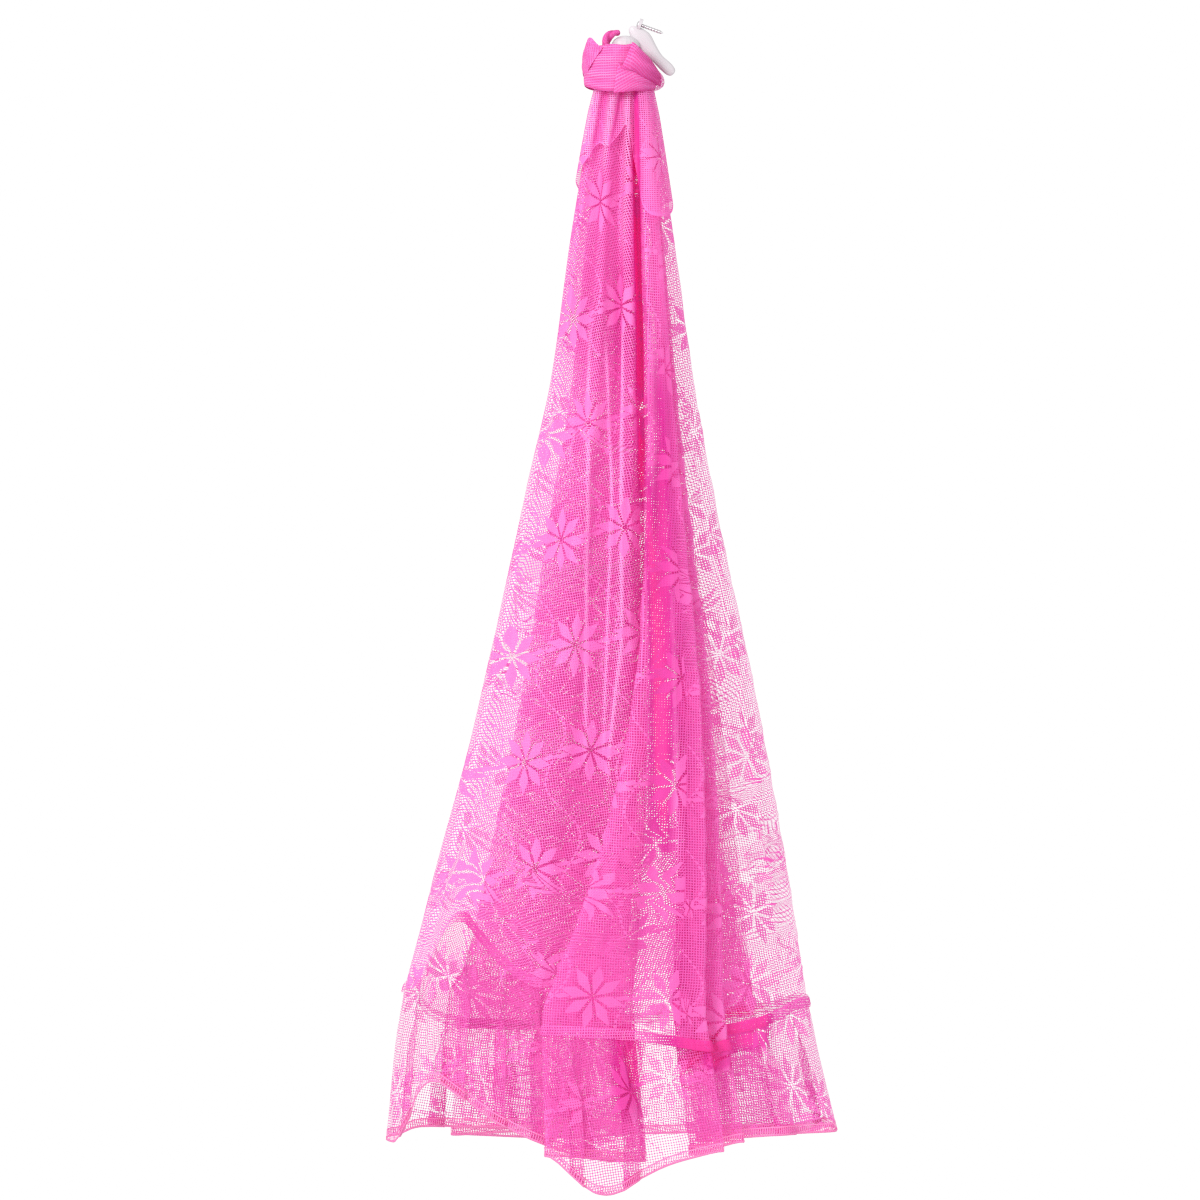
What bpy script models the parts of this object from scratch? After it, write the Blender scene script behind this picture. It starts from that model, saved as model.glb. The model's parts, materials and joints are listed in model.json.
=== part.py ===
# Mosquito net canopy hanging from its plastic hook, with the hook's steel screw.
# Metres, +Z up, +X to the right, the front faces -Y. The origin lies on the hook's
# fixing face, above the screw, and the net hangs plumb a little to the left of it.

import math
from collections import namedtuple

import bmesh
import bpy
import numpy as np
from mathutils import Matrix, Vector

MM = 0.001

# The shoulder of the hook's arm. Drops in every table are millimetres below it.
SHOULDER_X = -3.0
SHOULDER_Z = -8.27
NET_AXIS_X = SHOULDER_X - 21.0

# Cloth thicknesses, in millimetres.
NET_SHEET = 1.1
TAPE_SHEET = 1.0
KNOT_SHEET = 1.6

# The net's outline: distances left and right of its axis, and half its depth.
Section = namedtuple("Section", "name drop left right depth")
SECTIONS = [Section(*row) for row in (
    # name      drop   left  right  depth
    ("top",       46,   -21,    30,   17),
    ("neck",      69,   -26,    34,   22),
    ("cap_hem",  200,   -49,    54,   34),
    ("waist",    390,   -77,    81,   50),
    ("hip",      495,  -101,   100,   59),
    ("knee",     705,  -147,   144,   77),
    ("calf",     915,  -202,   181,   96),
    ("tape",    1020,  -229,   197,  105),
    ("hem",     1160,  -245,   229,  122),
)]
DROP = {section.name: section.drop for section in SECTIONS}

# The folds met on a walk round the net: left edge, front, right edge, back. neck and tape
# place a fold across the width (-1 left edge, 1 right edge), and the depths place it from
# front (-1) to back (1). sweep 2 keeps it straight at first and swings it over lower down.
# turn is the height in mm of a hairpin, where the cloth doubles back: minus towards the
# front. tape and hem drops say how low each fold reaches.
Fold = namedtuple("Fold", "name neck tape sweep neck_depth tape_depth turn tape_drop hem_drop")
FOLDS = [Fold(*row) for row in (
    # name            neck   tape sweep n_depth t_depth turn  tape_d hem_d
    ("left_edge",    -1.00, -1.00, 1,   0.00,   0.02,  -56,  1006, 1165),
    ("left_bulge",   -0.84, -0.84, 1,  -0.62,  -0.50,    0,   912, 1085),
    ("left_groove",  -0.64, -0.60, 1,  -0.42,  -0.62,    0,   962, 1128),
    ("left_crest",   -0.36, -0.42, 1,  -0.95,  -0.80,    0,   990, 1150),
    ("mid_groove",   -0.08, -0.20, 1,  -0.50,  -0.74,    0,  1008, 1172),
    ("mid_crest",     0.17, -0.02, 1,  -0.98,  -0.80,    0,  1018, 1180),
    ("under_fold",    0.34,  0.14, 1,  -0.36,  -0.84,   -8,  1035, 1178),
    ("pleat_left",    0.42, -0.30, 2,  -0.92,  -0.95,   -8,  1043, 1172),
    ("pleat_crest",   0.54, -0.04, 1,  -1.10,  -1.04,    0,  1045, 1222),
    ("pleat_right",   0.66,  0.19, 1,  -1.02,  -0.90,    0,  1050, 1184),
    ("band_outer",    0.78,  0.49, 1,  -0.82,  -0.86,    8,  1060, 1168),
    ("band_left",     0.60,  0.33, 1,  -0.60,  -0.78,    8,  1080, 1172),
    ("band_right",    0.82,  0.58, 1,  -0.40,  -0.70,    8,  1060, 1160),
    ("second_left",   0.60,  0.37, 1,  -0.18,  -0.62,    8,  1050, 1160),
    ("right_crest",   0.82,  0.70, 1,  -0.06,  -0.56,    0,  1042, 1155),
    ("right_fold",    0.91,  0.86, 1,   0.00,  -0.34,    0,  1030, 1155),
    ("right_edge",    1.00,  1.00, 1,   0.26,   0.04,   44,  1020, 1155),
    ("back_right",    0.80,  0.86, 1,   0.72,   0.62,    0,  1030, 1165),
    ("right_under",   0.34,  0.40, 1,   0.98,   0.88,   -8,  1045, 1172),
    ("right_over",    0.70,  0.74, 1,   0.62,   0.62,   -8,  1035, 1165),
    ("back_link",     0.16,  0.20, 1,   0.76,   0.84,    0,  1045, 1168),
    ("back_ridge",   -0.15, -0.10, 1,   1.02,   1.02,    0,  1050, 1175),
    ("back_groove",  -0.38, -0.34, 1,   0.88,   0.94,    0,  1055, 1175),
    ("back_turn",    -0.70, -0.72, 1,   0.80,   0.84,   -8,  1050, 1170),
    ("between",      -0.25, -0.30, 1,   0.70,   0.84,    0,  1050, 1165),
    ("inner_turn",    0.30,  0.10, 1,   0.48,   0.74,   -8,  1045, 1160),
    ("inner_mid",    -0.30, -0.30, 1,   0.48,   0.74,    0,  1050, 1160),
    ("inner_left",   -0.68, -0.68, 1,   0.44,   0.64,    0,  1050, 1160),
    ("back_left",    -0.90, -0.88, 1,   0.34,   0.40,    0,  1035, 1155),
)]
LEAST_TURN = 4.0
FOLD_SAMPLES = 3
TURN_SAMPLES = 1
NET_LEVELS = (0.0, 0.024, 0.09, 0.16, 0.35, 0.46, 0.57, 0.68, 0.84, 1.0)
RING_STEP = 10.0

# The cap: a second layer of net round the neck, whose lower edge zigzags over the pleats.
CapFold = namedtuple("CapFold", "name across depth hem_drop")
CAP_FOLDS = [CapFold(*row) for row in (
    ("left_front",  -1.02, -0.36, 151),
    ("left_bulge",  -0.86, -0.74, 140),
    ("left_groove", -0.62, -0.62, 118),
    ("left_crest",  -0.36, -1.02, 128),
    ("mid_groove",  -0.08, -0.70, 110),
    ("mid_crest",    0.14, -1.06,  97),
    ("valley",       0.28, -0.80, 150),
    ("pleat_crest",  0.40, -1.22, 196),
    ("pleat_right",  0.74, -1.14, 200),
    ("front_right",  0.96, -0.70, 196),
    ("right_front",  1.03, -0.24, 184),
    ("right_back",   1.02,  0.60, 178),
    ("back_right",   0.74,  1.00, 185),
    ("back_mid",     0.10,  1.16, 190),
    ("back_left",   -0.74,  1.00, 175),
    ("left_back",   -1.04,  0.44, 162),
)]
CAP_TOP = 61
CAP_OUTSIDE = 3.0
CAP_TOP_OUTSIDE = 1.8
CAP_SAMPLES = 3
CAP_LEVELS = (0.0, 0.25, 0.5, 0.75, 1.0)

# The tape over the seam between net and flounce, and how far outside it its edges lie.
TAPE_HEIGHT = 11.0
TAPE_UPPER_OUTSIDE = 1.9
TAPE_LOWER_OUTSIDE = 2.5

# The flounce hangs from the seam. Each of its pleats lies so far (share) from one fold of
# the net towards the next, and laps over itself by so many mm.
Pleat = namedtuple("Pleat", "fold share lap")
PLEATS = [Pleat(*row) for row in (
    ("left_edge",   0.55, 15),
    ("left_bulge",  0.50, 19),
    ("left_groove", 0.55, 12),
    ("left_crest",  0.45, 17),
    ("mid_groove",  0.50, 12),
    ("pleat_left",  0.55, 13),
    ("pleat_crest", 0.50, 15),
    ("right_crest", 0.45, 18),
    ("right_edge",  0.55, 15),
    ("right_over",  0.45, 17),
    ("back_link",   0.45, 14),
    ("back_ridge",  0.50, 18),
    ("between",     0.35, 13),
    ("inner_mid",   0.45, 17),
    ("inner_left",  0.60, 15),
)]
# A pleat runs across plain cloth, out, back under its own edge and on, through these points:
# laps and mm from its middle, and how far out as a share of PLEAT_LIFT, first where it
# stands up below the seam and then where it lies flat.
PleatPoint = namedtuple("PleatPoint", "laps past standing lying")
PLEAT_SHAPE = [PleatPoint(*row) for row in (
    (-0.5, -9.0,  0.0,  0.0),
    (-0.5,  0.0,  0.5,  1.0),
    ( 0.5, -0.5,  1.0,  1.0),
    ( 0.5,  0.5,  1.0,  0.5),
    ( 0.5, -0.5,  0.5,  0.0),
    (-0.5,  0.5, -0.5,  0.0),
    (-0.5, -0.5, -1.0, -0.5),
    (-0.5,  0.5, -1.0, -1.0),
    ( 0.5,  0.0, -0.5, -1.0),
    ( 0.5,  9.0,  0.0,  0.0),
)]
PLEAT_LIFT = 3.2
# How far down the flounce each row lies, and how far its pleats are lifted and lapped there.
FlounceRow = namedtuple("FlounceRow", "level lifted lapped")
FLOUNCE_ROWS = [FlounceRow(*row) for row in (
    (0.0, 0.0, 0.0), (0.14, 1.0, 0.22), (0.26, 1.0, 0.4), (0.42, 1.0, 1.0), (1.0, 1.0, 1.0),
)]
SEAM_GAP = 2.8

# The knot: the net's top end, wound round the neck. Angles run from the right side (0)
# by the front (90) and the left (180) to the back (270).
KNOT_CENTRE_X = 1.6
KNOT_HALF_WIDTH = 39.6
KNOT_HALF_DEPTH = 36.0
Rim = namedtuple("Rim", "angle top bottom")
KNOT_RIM = [Rim(*row) for row in (
    # angle  top  bottom, as drops
    (0,   46, 63),
    (24,  39, 64),
    (41,  31, 65),
    (55,  25, 66),
    (71,  17, 66),
    (82,  18, 66),
    (109, 16, 66),
    (123, 14, 65),
    (136,  9, 64),
    (160,  9, 62),
    (180, 13, 61),
    (215, 16, 62),
    (260, 19, 64),
    (305, 32, 65),
    (335, 43, 64),
    (360, 46, 63),
)]
# Across the winding: how far up it and how far out, from the tucked-in lower lip to the upper.
Winding = namedtuple("Winding", "up out")
KNOT_PROFILE = [Winding(*row) for row in (
    (0.09, 0.97), (0.0, 1.0), (0.15, 1.03), (0.45, 1.02), (0.78, 0.99), (0.97, 0.94), (0.93, 0.84),
)]
KNOT_COLUMNS = 36
# Pieces of the winding that lie over it: their four corners as (angle, up), and how far out.
Wrap = namedtuple("Wrap", "name top_left top_right low_left low_right out swell columns rows")
WRAPS = [Wrap(*row) for row in (
    ("knot_wrap", (73, 1.0), (10, 0.97), (90, 0.44), (20, 0.16), 2.6, 1.2, 8, 5),
    ("knot_loop", (4, 0.80), (-46, 0.80), (16, 0.06), (-46, 0.12), 2.4, 2.6, 6, 4),
)]
# The twisted end that stands up out of the knot: x from the net's axis, y, drop and radius.
TailPoint = namedtuple("TailPoint", "x y drop radius")
KNOT_TAIL = [TailPoint(*row) for row in (
    (-17.2, -5.6, 27.0, 3.3),
    (-16.8, -6.2, 15.0, 3.9),
    (-14.8, -6.8,  8.4, 3.8),
    (-11.2, -7.0,  4.4, 3.4),
    ( -6.3, -6.5,  2.7, 3.0),
    ( -0.6, -6.0,  3.3, 2.5),
)]

# The hook: a moulded arm with sections along its middle line. x is measured from its shoulder.
ArmSection = namedtuple("ArmSection", "x drop half_width half_depth")
HOOK_ARM = [ArmSection(*row) for row in (
    # x      drop  width depth
    ( -9.6, -3.6,  3.6, 3.2),
    ( -6.8,  0.2,  6.9, 4.4),
    ( -2.6,  5.2,  8.6, 5.2),
    (  2.6, 10.2, 11.2, 5.6),
    (  7.4, 17.5,  9.6, 5.4),
    ( 14.1, 25.5,  7.1, 4.9),
    ( 19.7, 32.5,  6.1, 4.7),
    ( 25.8, 37.9,  6.9, 4.7),
    ( 31.8, 43.7,  6.6, 4.5),
    ( 35.6, 47.2,  4.0, 3.4),
)]
DOME_X = -15.0
DOME_DROP = 17.0
DOME_RADIUS = 15.0
DOME_HEIGHT = 10.4
STEM_RADIUS = 6.0
STEM_END_DROP = 41.0
ROUND_STEPS = 20

# The eye plate and its screw share an axis that slopes down to the right.
SCREW_SLOPE = math.radians(20.0)
EYE_RADIUS = 6.5
EYE_THICKNESS = 3.3
EYE_SEAT = 2.6
EYE_HOLE_RADIUS = 2.3
EYE_POCKET_RADIUS = 4.4
FACE_OFFSET = 4.4
SCREW_RADIUS = 1.75
SCREW_CORE = 1.35
SCREW_REACH = 24.5
SCREW_RIDGES = 6
SCREW_HEAD_RADIUS = 3.9
SCREW_HEAD_HEIGHT = 2.6
SCREW_GAP = 0.35
SCREW_STEPS = 14

NET_PINK = (0.86, 0.09, 0.42)
TAPE_PINK = (0.90, 0.07, 0.40)
HOOK_WHITE = (0.80, 0.77, 0.79)
STEEL = (0.62, 0.61, 0.62)


def clear_scene():
    for thing in list(bpy.data.objects):
        bpy.data.objects.remove(thing, do_unlink=True)


def collection(name):
    made = bpy.data.collections.new(name)
    bpy.context.scene.collection.children.link(made)
    return made


def material(name, colour, roughness, metallic=0.0):
    made = bpy.data.materials.new(name)
    made.use_nodes = True
    shader = made.node_tree.nodes["Principled BSDF"]
    shader.inputs["Base Color"].default_value = (*colour, 1.0)
    shader.inputs["Roughness"].default_value = roughness
    shader.inputs["Metallic"].default_value = metallic
    made.diffuse_color = (*colour, 1.0)
    return made


def add_object(name, mesh, finish, where):
    thing = bpy.data.objects.new(name, mesh)
    if finish:
        mesh.materials.append(finish)
    where.objects.link(thing)
    return thing


def in_metres(grid):
    """Rows of (x from the net's axis, y, drop) as points in the part's frame."""
    placed = np.array(grid, float)
    placed[..., 0] += NET_AXIS_X
    placed[..., 2] = SHOULDER_Z - placed[..., 2]
    return placed * MM


def sheet(name, grid, thickness, finish, where, closed):
    """Cloth: a grid of points [row, column], joined round when closed, given its thickness."""
    rows, columns = grid.shape[:2]
    shape = bmesh.new()
    points = [[shape.verts.new(point) for point in row] for row in in_metres(grid)]
    for row in range(rows - 1):
        for column in range(columns if closed else columns - 1):
            after = (column + 1) % columns
            shape.faces.new((points[row][column], points[row + 1][column],
                             points[row + 1][after], points[row][after]))
    mesh = bpy.data.meshes.new(name)
    shape.to_mesh(mesh)
    shape.free()
    mesh.shade_smooth()
    cloth = add_object(name, mesh, finish, where)
    split = cloth.modifiers.new("split", "TRIANGULATE")
    split.quad_method = "SHORTEST_DIAGONAL"
    thick = cloth.modifiers.new("cloth", "SOLIDIFY")
    thick.thickness = thickness * MM
    thick.offset = 0.0
    return cloth


def outline(drop):
    drops = [section.drop for section in SECTIONS]
    return [np.interp(drop, drops, [getattr(section, side) for section in SECTIONS])
            for side in ("left", "right", "depth")]


def fold_polygon(drop):
    """The net's section at one drop, as the corners that its smooth curve rounds off."""
    left, right, depth = outline(drop)
    down = np.clip((drop - DROP["neck"]) / (DROP["tape"] - DROP["neck"]), 0.0, 1.0)
    corners, heights = [], []
    for fold in FOLDS:
        across = fold.neck + (fold.tape - fold.neck) * down ** fold.sweep
        x = (left + right) / 2 + across * (right - left) / 2
        y = (fold.neck_depth + (fold.tape_depth - fold.neck_depth) * down) * depth
        if not fold.turn:
            corners.append((x, y))
            heights.append(0.0)
            continue
        height = max(LEAST_TURN, abs(fold.turn) * depth / SECTIONS[-2].depth)
        half = math.copysign(height / 2, fold.turn)
        corners += [(x, y - half), (x, y + half)]
        heights += [-height, height]
    return guarded(np.array(corners), heights, 0.45 * (1 - 2 * down))


def guarded(corners, heights, least):
    """A point on the cloth beside each corner of a hairpin keeps its turn as tight as it is high."""
    points = []
    for index, (corner, height) in enumerate(zip(corners, heights)):
        if not height:
            points.append(corner)
            continue
        beside = corners[index - 1] if height < 0 else corners[(index + 1) % len(corners)]
        way = beside - corner
        share = max(min(0.45, abs(height) / np.hypot(*way)), least)
        pair = [corner + way * share, corner]
        points += pair if height < 0 else pair[::-1]
    return np.array(points)


def corner_values(column):
    """One value of the fold table for each corner of fold_polygon."""
    return np.concatenate([[getattr(fold, column)] * (4 if fold.turn else 1) for fold in FOLDS])


def corner_samples():
    return [TURN_SAMPLES if fold.turn else FOLD_SAMPLES for fold in FOLDS for _ in range(4 if fold.turn else 1)]


def rounded(corners, samples):
    """A closed quadratic B-spline inside the corners, with so many samples at each."""
    corners = np.asarray(corners, float)
    before = (corners + np.roll(corners, 1, axis=0)) / 2
    after = (corners + np.roll(corners, -1, axis=0)) / 2
    points = []
    for corner, start, end, count in zip(corners, before, after, samples):
        for step in range(count):
            w = (step + 0.5) / count
            points.append((1 - w) ** 2 * start + 2 * w * (1 - w) * corner + w * w * end)
    return np.array(points)


def net_columns(drops):
    """Points of the net, one on each column at its own drop, read between rings RING_STEP apart."""
    lowest = math.floor(drops.min() / RING_STEP) * RING_STEP
    levels = np.arange(lowest, drops.max() + 2 * RING_STEP, RING_STEP)
    samples = corner_samples()
    rings = np.array([rounded(fold_polygon(level), samples) for level in levels])
    place = (drops - lowest) / RING_STEP
    index = place.astype(int)
    share = (place - index)[:, None]
    column = np.arange(len(drops))
    flat = rings[index, column] * (1 - share) + rings[index + 1, column] * share
    return np.column_stack([flat, drops])


def fold_drops(column):
    return rounded(corner_values(column)[:, None], corner_samples())[:, 0]


def outward(ring):
    """The level way out of the cloth at each point of a closed ring, longer at a sharp turn."""
    along = (np.roll(ring, -1, axis=0) - ring)[:, :2]
    along /= np.hypot(along[:, 0], along[:, 1])[:, None]
    normal = np.column_stack([along[:, 1], -along[:, 0], np.zeros(len(ring))])
    before = np.roll(normal, 1, axis=0)
    return (normal + before) / np.maximum(1 + (normal * before).sum(axis=1), 0.8)[:, None]


def net_rows():
    lower = fold_drops("tape_drop")
    top = DROP["top"]
    return np.array([net_columns(top + (lower - top) * level) for level in NET_LEVELS])


def make_net_body(finish, where):
    return sheet("net_body", net_rows(), NET_SHEET, finish, where, closed=True)


def make_cap_layer(finish, where):
    samples = [CAP_SAMPLES] * len(CAP_FOLDS)
    lower = rounded([[fold.hem_drop] for fold in CAP_FOLDS], samples)[:, 0]
    grid = []
    for level in CAP_LEVELS:
        drops = CAP_TOP + (lower - CAP_TOP) * level
        left, right, depth = outline(drops)
        shape = rounded([(fold.across, fold.depth) for fold in CAP_FOLDS], samples)
        outside = CAP_TOP_OUTSIDE + (CAP_OUTSIDE - CAP_TOP_OUTSIDE) * min(1.0, level / 0.25)
        x = (left + right) / 2 + shape[:, 0] * ((right - left) / 2 + outside)
        y = shape[:, 1] * (depth + outside)
        grid.append(np.column_stack([x, y, drops]))
    return sheet("cap_layer", np.array(grid), NET_SHEET, finish, where, closed=True)


def make_join_tape(finish, where):
    """The tape's upper half lies along the net's lowest row, and its lower half along the flounce."""
    grid = net_rows()
    middle = grid[-1]
    share = TAPE_HEIGHT / 2 / (middle - grid[-2])[:, 2:]
    upper = middle + (grid[-2] - middle) * share
    lower = net_columns(middle[:, 2] + TAPE_HEIGHT / 2)
    rows = [upper + TAPE_UPPER_OUTSIDE * outward(upper), lower + TAPE_LOWER_OUTSIDE * outward(lower)]
    return sheet("join_tape", np.array(rows), TAPE_SHEET, finish, where, closed=True)


def lengths(ring):
    """How far along a closed ring each point lies, with its whole length last."""
    steps = np.hypot(*(np.roll(ring, -1, axis=0) - ring)[:, :2].T)
    return np.concatenate([[0.0], np.cumsum(steps)])


def flounce_columns(length):
    """(place on the seam, place once lapped, lift standing, lift lying) of each column: a pleat's or the net's."""
    first = np.concatenate([[0], np.cumsum([FOLD_SAMPLES if not fold.turn else 4 * TURN_SAMPLES for fold in FOLDS])])
    names = [fold.name for fold in FOLDS]
    free = np.ones(len(length) - 1, bool)
    columns = []
    for pleat in PLEATS:
        here = names.index(pleat.fold)
        start, after = [length[(first[n] + first[n + 1]) // 2] for n in (here, here + 1)]
        middle = start + (after - start) * pleat.share
        lapped = [middle + point.laps * pleat.lap + point.past for point in PLEAT_SHAPE]
        flat = np.linspace(lapped[0], lapped[-1], len(lapped))
        columns += [(place, end, point.standing, point.lying)
                    for place, end, point in zip(flat, lapped, PLEAT_SHAPE)]
        free &= (length[:-1] < lapped[0] - 1) | (length[:-1] > lapped[-1] + 1)
    columns += [(place, place, 0.0, 0.0) for place in length[:-1][free]]
    return np.array(sorted(columns, key=lambda column: column[0])).T


def make_flounce(finish, where):
    upper = fold_drops("tape_drop") + SEAM_GAP
    lower = fold_drops("hem_drop")
    length = lengths(net_columns(upper))
    flat, lapped, standing, lying = flounce_columns(length)
    count = len(length) - 1
    grid = []
    for row in FLOUNCE_ROWS:
        ring = net_columns(upper + (lower - upper) * row.level)
        out = outward(ring)
        column = np.interp((flat + (lapped - flat) * row.lapped) % length[-1], length, np.arange(count + 1))
        index = column.astype(int) % count
        share = (column - column.astype(int))[:, None]
        point = ring[index] * (1 - share) + ring[(index + 1) % count] * share
        way = out[index] * (1 - share) + out[(index + 1) % count] * share
        lift = PLEAT_LIFT * row.lifted * (standing + (lying - standing) * row.lapped)
        grid.append(point + lift[:, None] * way)
    return sheet("flounce", np.array(grid), NET_SHEET, finish, where, closed=True)


def knot_point(angle, up, out):
    """A point on the knot's winding: angle in degrees, up from its lower edge (0) to its rim (1)."""
    turn = angle % 360
    angles = [rim.angle for rim in KNOT_RIM]
    top = np.interp(turn, angles, [rim.top for rim in KNOT_RIM])
    bottom = np.interp(turn, angles, [rim.bottom for rim in KNOT_RIM])
    wide = math.cos(math.radians(angle))
    deep = -math.sin(math.radians(angle))
    return (KNOT_CENTRE_X + wide * (KNOT_HALF_WIDTH * out[0] + out[1]),
            deep * (KNOT_HALF_DEPTH * out[0] + out[1]), bottom + (top - bottom) * up)


def make_knot_band(finish, where):
    grid = [[knot_point(-360 * column / KNOT_COLUMNS, winding.up, (winding.out, 0.0))
             for column in range(KNOT_COLUMNS)] for winding in KNOT_PROFILE[::-1]]
    return sheet("knot_band", np.array(grid), KNOT_SHEET, finish, where, closed=True)


def make_wrap(wrap, finish, where):
    ups = [winding.up for winding in KNOT_PROFILE[1:6]]
    outs = [winding.out for winding in KNOT_PROFILE[1:6]]
    corner = [np.array(getattr(wrap, name), float) for name in ("top_left", "top_right", "low_left", "low_right")]
    grid = []
    for row in range(wrap.rows + 1):
        down = row / wrap.rows
        line = []
        for column in range(wrap.columns + 1):
            along = column / wrap.columns
            upper = corner[0] * (1 - along) + corner[1] * along
            lower = corner[2] * (1 - along) + corner[3] * along
            angle, up = upper * (1 - down) + lower * down
            swell = wrap.swell * math.sin(math.pi * down) * math.sin(math.pi * (0.2 + 0.6 * along))
            line.append(knot_point(angle, up, (np.interp(up, ups, outs), wrap.out + swell)))
        grid.append(line)
    return sheet(wrap.name, np.array(grid), KNOT_SHEET, finish, where, closed=False)


def make_knot_tail(finish, where):
    curve = bpy.data.curves.new("knot_tail", "CURVE")
    curve.dimensions = "3D"
    curve.bevel_depth = MM
    curve.bevel_resolution = 2
    curve.use_fill_caps = True
    line = curve.splines.new("POLY")
    line.points.add(len(KNOT_TAIL) - 1)
    for point, tail in zip(line.points, KNOT_TAIL):
        point.co = (*in_metres([tail.x, tail.y, tail.drop]), 1.0)
        point.radius = tail.radius
    return add_object("knot_tail", curve, finish, where)


def turned(name, profile, steps, finish, where):
    """A turned solid round its own Z from (radius, height) points that run down its outer side."""
    mesh = bpy.data.meshes.new(name)
    points = [(radius * MM, 0.0, height * MM) for radius, height in profile]
    mesh.from_pydata(points, [(n, n + 1) for n in range(len(points) - 1)], [])
    made = add_object(name, mesh, finish, where)
    lathe = made.modifiers.new("turned", "SCREW")
    lathe.axis = "Z"
    lathe.steps = steps
    lathe.render_steps = steps
    lathe.use_merge_vertices = True
    lathe.merge_threshold = 0.00001
    return made


def helper(thing):
    thing.hide_render = True
    thing.display_type = "WIRE"
    return thing


def join_to(thing, other, operation):
    cut = thing.modifiers.new(other.name, "BOOLEAN")
    cut.operation = operation
    cut.solver = "EXACT"
    cut.object = other


def screw_axis_place(along):
    """A place along the screw's axis, in mm past the fixing face, turned so that local -Z points along it."""
    axis = Vector((math.cos(SCREW_SLOPE), 0.0, -math.sin(SCREW_SLOPE)))
    across = Vector((-math.sin(SCREW_SLOPE), 0.0, -math.cos(SCREW_SLOPE)))
    spot = axis * along + across * FACE_OFFSET
    return Matrix.Translation(spot * MM) @ Matrix.Rotation(math.pi / 2 + SCREW_SLOPE - math.pi, 4, "Y")


def arm_cage():
    """The hook's arm as a coarse box cage along its middle line."""
    shape = bmesh.new()
    rings = []
    for index, part in enumerate(HOOK_ARM):
        before = HOOK_ARM[max(index - 1, 0)]
        after = HOOK_ARM[min(index + 1, len(HOOK_ARM) - 1)]
        along = Vector((after.x - before.x, 0.0, before.drop - after.drop)).normalized()
        across = Vector((along.z, 0.0, -along.x))
        middle = Vector((SHOULDER_X + part.x, 0.0, SHOULDER_Z - part.drop))
        ring = []
        for wide, deep in ((-1, -1), (1, -1), (1, 1), (-1, 1)):
            point = middle + across * wide * part.half_width + Vector((0.0, deep * part.half_depth, 0.0))
            ring.append(shape.verts.new(point * MM))
        rings.append(ring)
    for first, second in zip(rings, rings[1:]):
        for side in range(4):
            after = (side + 1) % 4
            shape.faces.new((first[side], first[after], second[after], second[side]))
    shape.faces.new(rings[0])
    shape.faces.new(rings[-1][::-1])
    bmesh.ops.recalc_face_normals(shape, faces=shape.faces)
    mesh = bpy.data.meshes.new("hook")
    shape.to_mesh(mesh)
    shape.free()
    mesh.shade_smooth()
    return mesh


def make_hook(finish, where, cutters):
    hook = add_object("hook", arm_cage(), finish, where)
    smooth = hook.modifiers.new("moulded", "SUBSURF")
    smooth.levels = 2
    smooth.render_levels = 2
    quarter = [math.radians(90 * step / 5) for step in range(6)]
    dome = [(DOME_RADIUS * math.sin(a), DOME_HEIGHT * math.cos(a)) for a in quarter]
    stem = DOME_DROP - STEM_END_DROP
    dome += [(DOME_RADIUS, -2.0), (STEM_RADIUS, -3.5), (STEM_RADIUS, stem), (0.0, stem)]
    base = helper(turned("hook_base", dome, ROUND_STEPS, None, cutters))
    base.location = Vector((SHOULDER_X + DOME_X, 0.0, SHOULDER_Z - DOME_DROP)) * MM
    plate = [(0.0, EYE_THICKNESS), (EYE_RADIUS, EYE_THICKNESS), (EYE_RADIUS, 0.0), (0.0, 0.0)]
    eye = helper(turned("hook_eye", plate, ROUND_STEPS, None, cutters))
    eye.matrix_world = screw_axis_place(0.0)
    hole = [(0.0, 12.0), (EYE_POCKET_RADIUS, 12.0), (EYE_POCKET_RADIUS, EYE_SEAT),
            (EYE_HOLE_RADIUS, EYE_SEAT), (EYE_HOLE_RADIUS, -9.0), (0.0, -9.0)]
    bore = helper(turned("hook_bore", hole, ROUND_STEPS, None, cutters))
    bore.matrix_world = screw_axis_place(0.0)
    join_to(hook, base, "UNION")
    join_to(hook, eye, "UNION")
    join_to(hook, bore, "DIFFERENCE")
    return hook


def make_screw(finish, where):
    seat = EYE_SEAT + SCREW_GAP
    top = seat + SCREW_HEAD_HEIGHT
    profile = [(0.0, top), (SCREW_HEAD_RADIUS * 0.6, top), (SCREW_HEAD_RADIUS, top - 1.2),
               (SCREW_HEAD_RADIUS, seat), (SCREW_CORE, seat)]
    pitch = SCREW_REACH / (SCREW_RIDGES + 1)
    for ridge in range(SCREW_RIDGES):
        height = -pitch * (ridge + 0.6)
        profile += [(SCREW_CORE, height + 0.3 * pitch), (SCREW_RADIUS, height), (SCREW_CORE, height - 0.3 * pitch)]
    profile += [(SCREW_CORE, 1.5 - SCREW_REACH), (0.0, -SCREW_REACH)]
    screw = turned("screw", profile, SCREW_STEPS, finish, where)
    screw.matrix_world = screw_axis_place(0.0)
    return screw


def main():
    clear_scene()
    canopy = collection("mosquito_net_canopy")
    cutters = collection("helpers")
    net = material("net knit", NET_PINK, 0.75)
    tape = material("woven tape", TAPE_PINK, 0.7)
    plastic = material("moulded plastic", HOOK_WHITE, 0.4)
    steel = material("plated steel", STEEL, 0.3, 1.0)
    make_net_body(net, canopy)
    make_cap_layer(net, canopy)
    make_join_tape(tape, canopy)
    make_flounce(net, canopy)
    make_knot_band(net, canopy)
    for wrap in WRAPS:
        make_wrap(wrap, net, canopy)
    make_knot_tail(net, canopy)
    make_hook(plastic, canopy, cutters)
    make_screw(steel, canopy)


main()
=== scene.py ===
import json
import math
from types import SimpleNamespace

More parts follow.
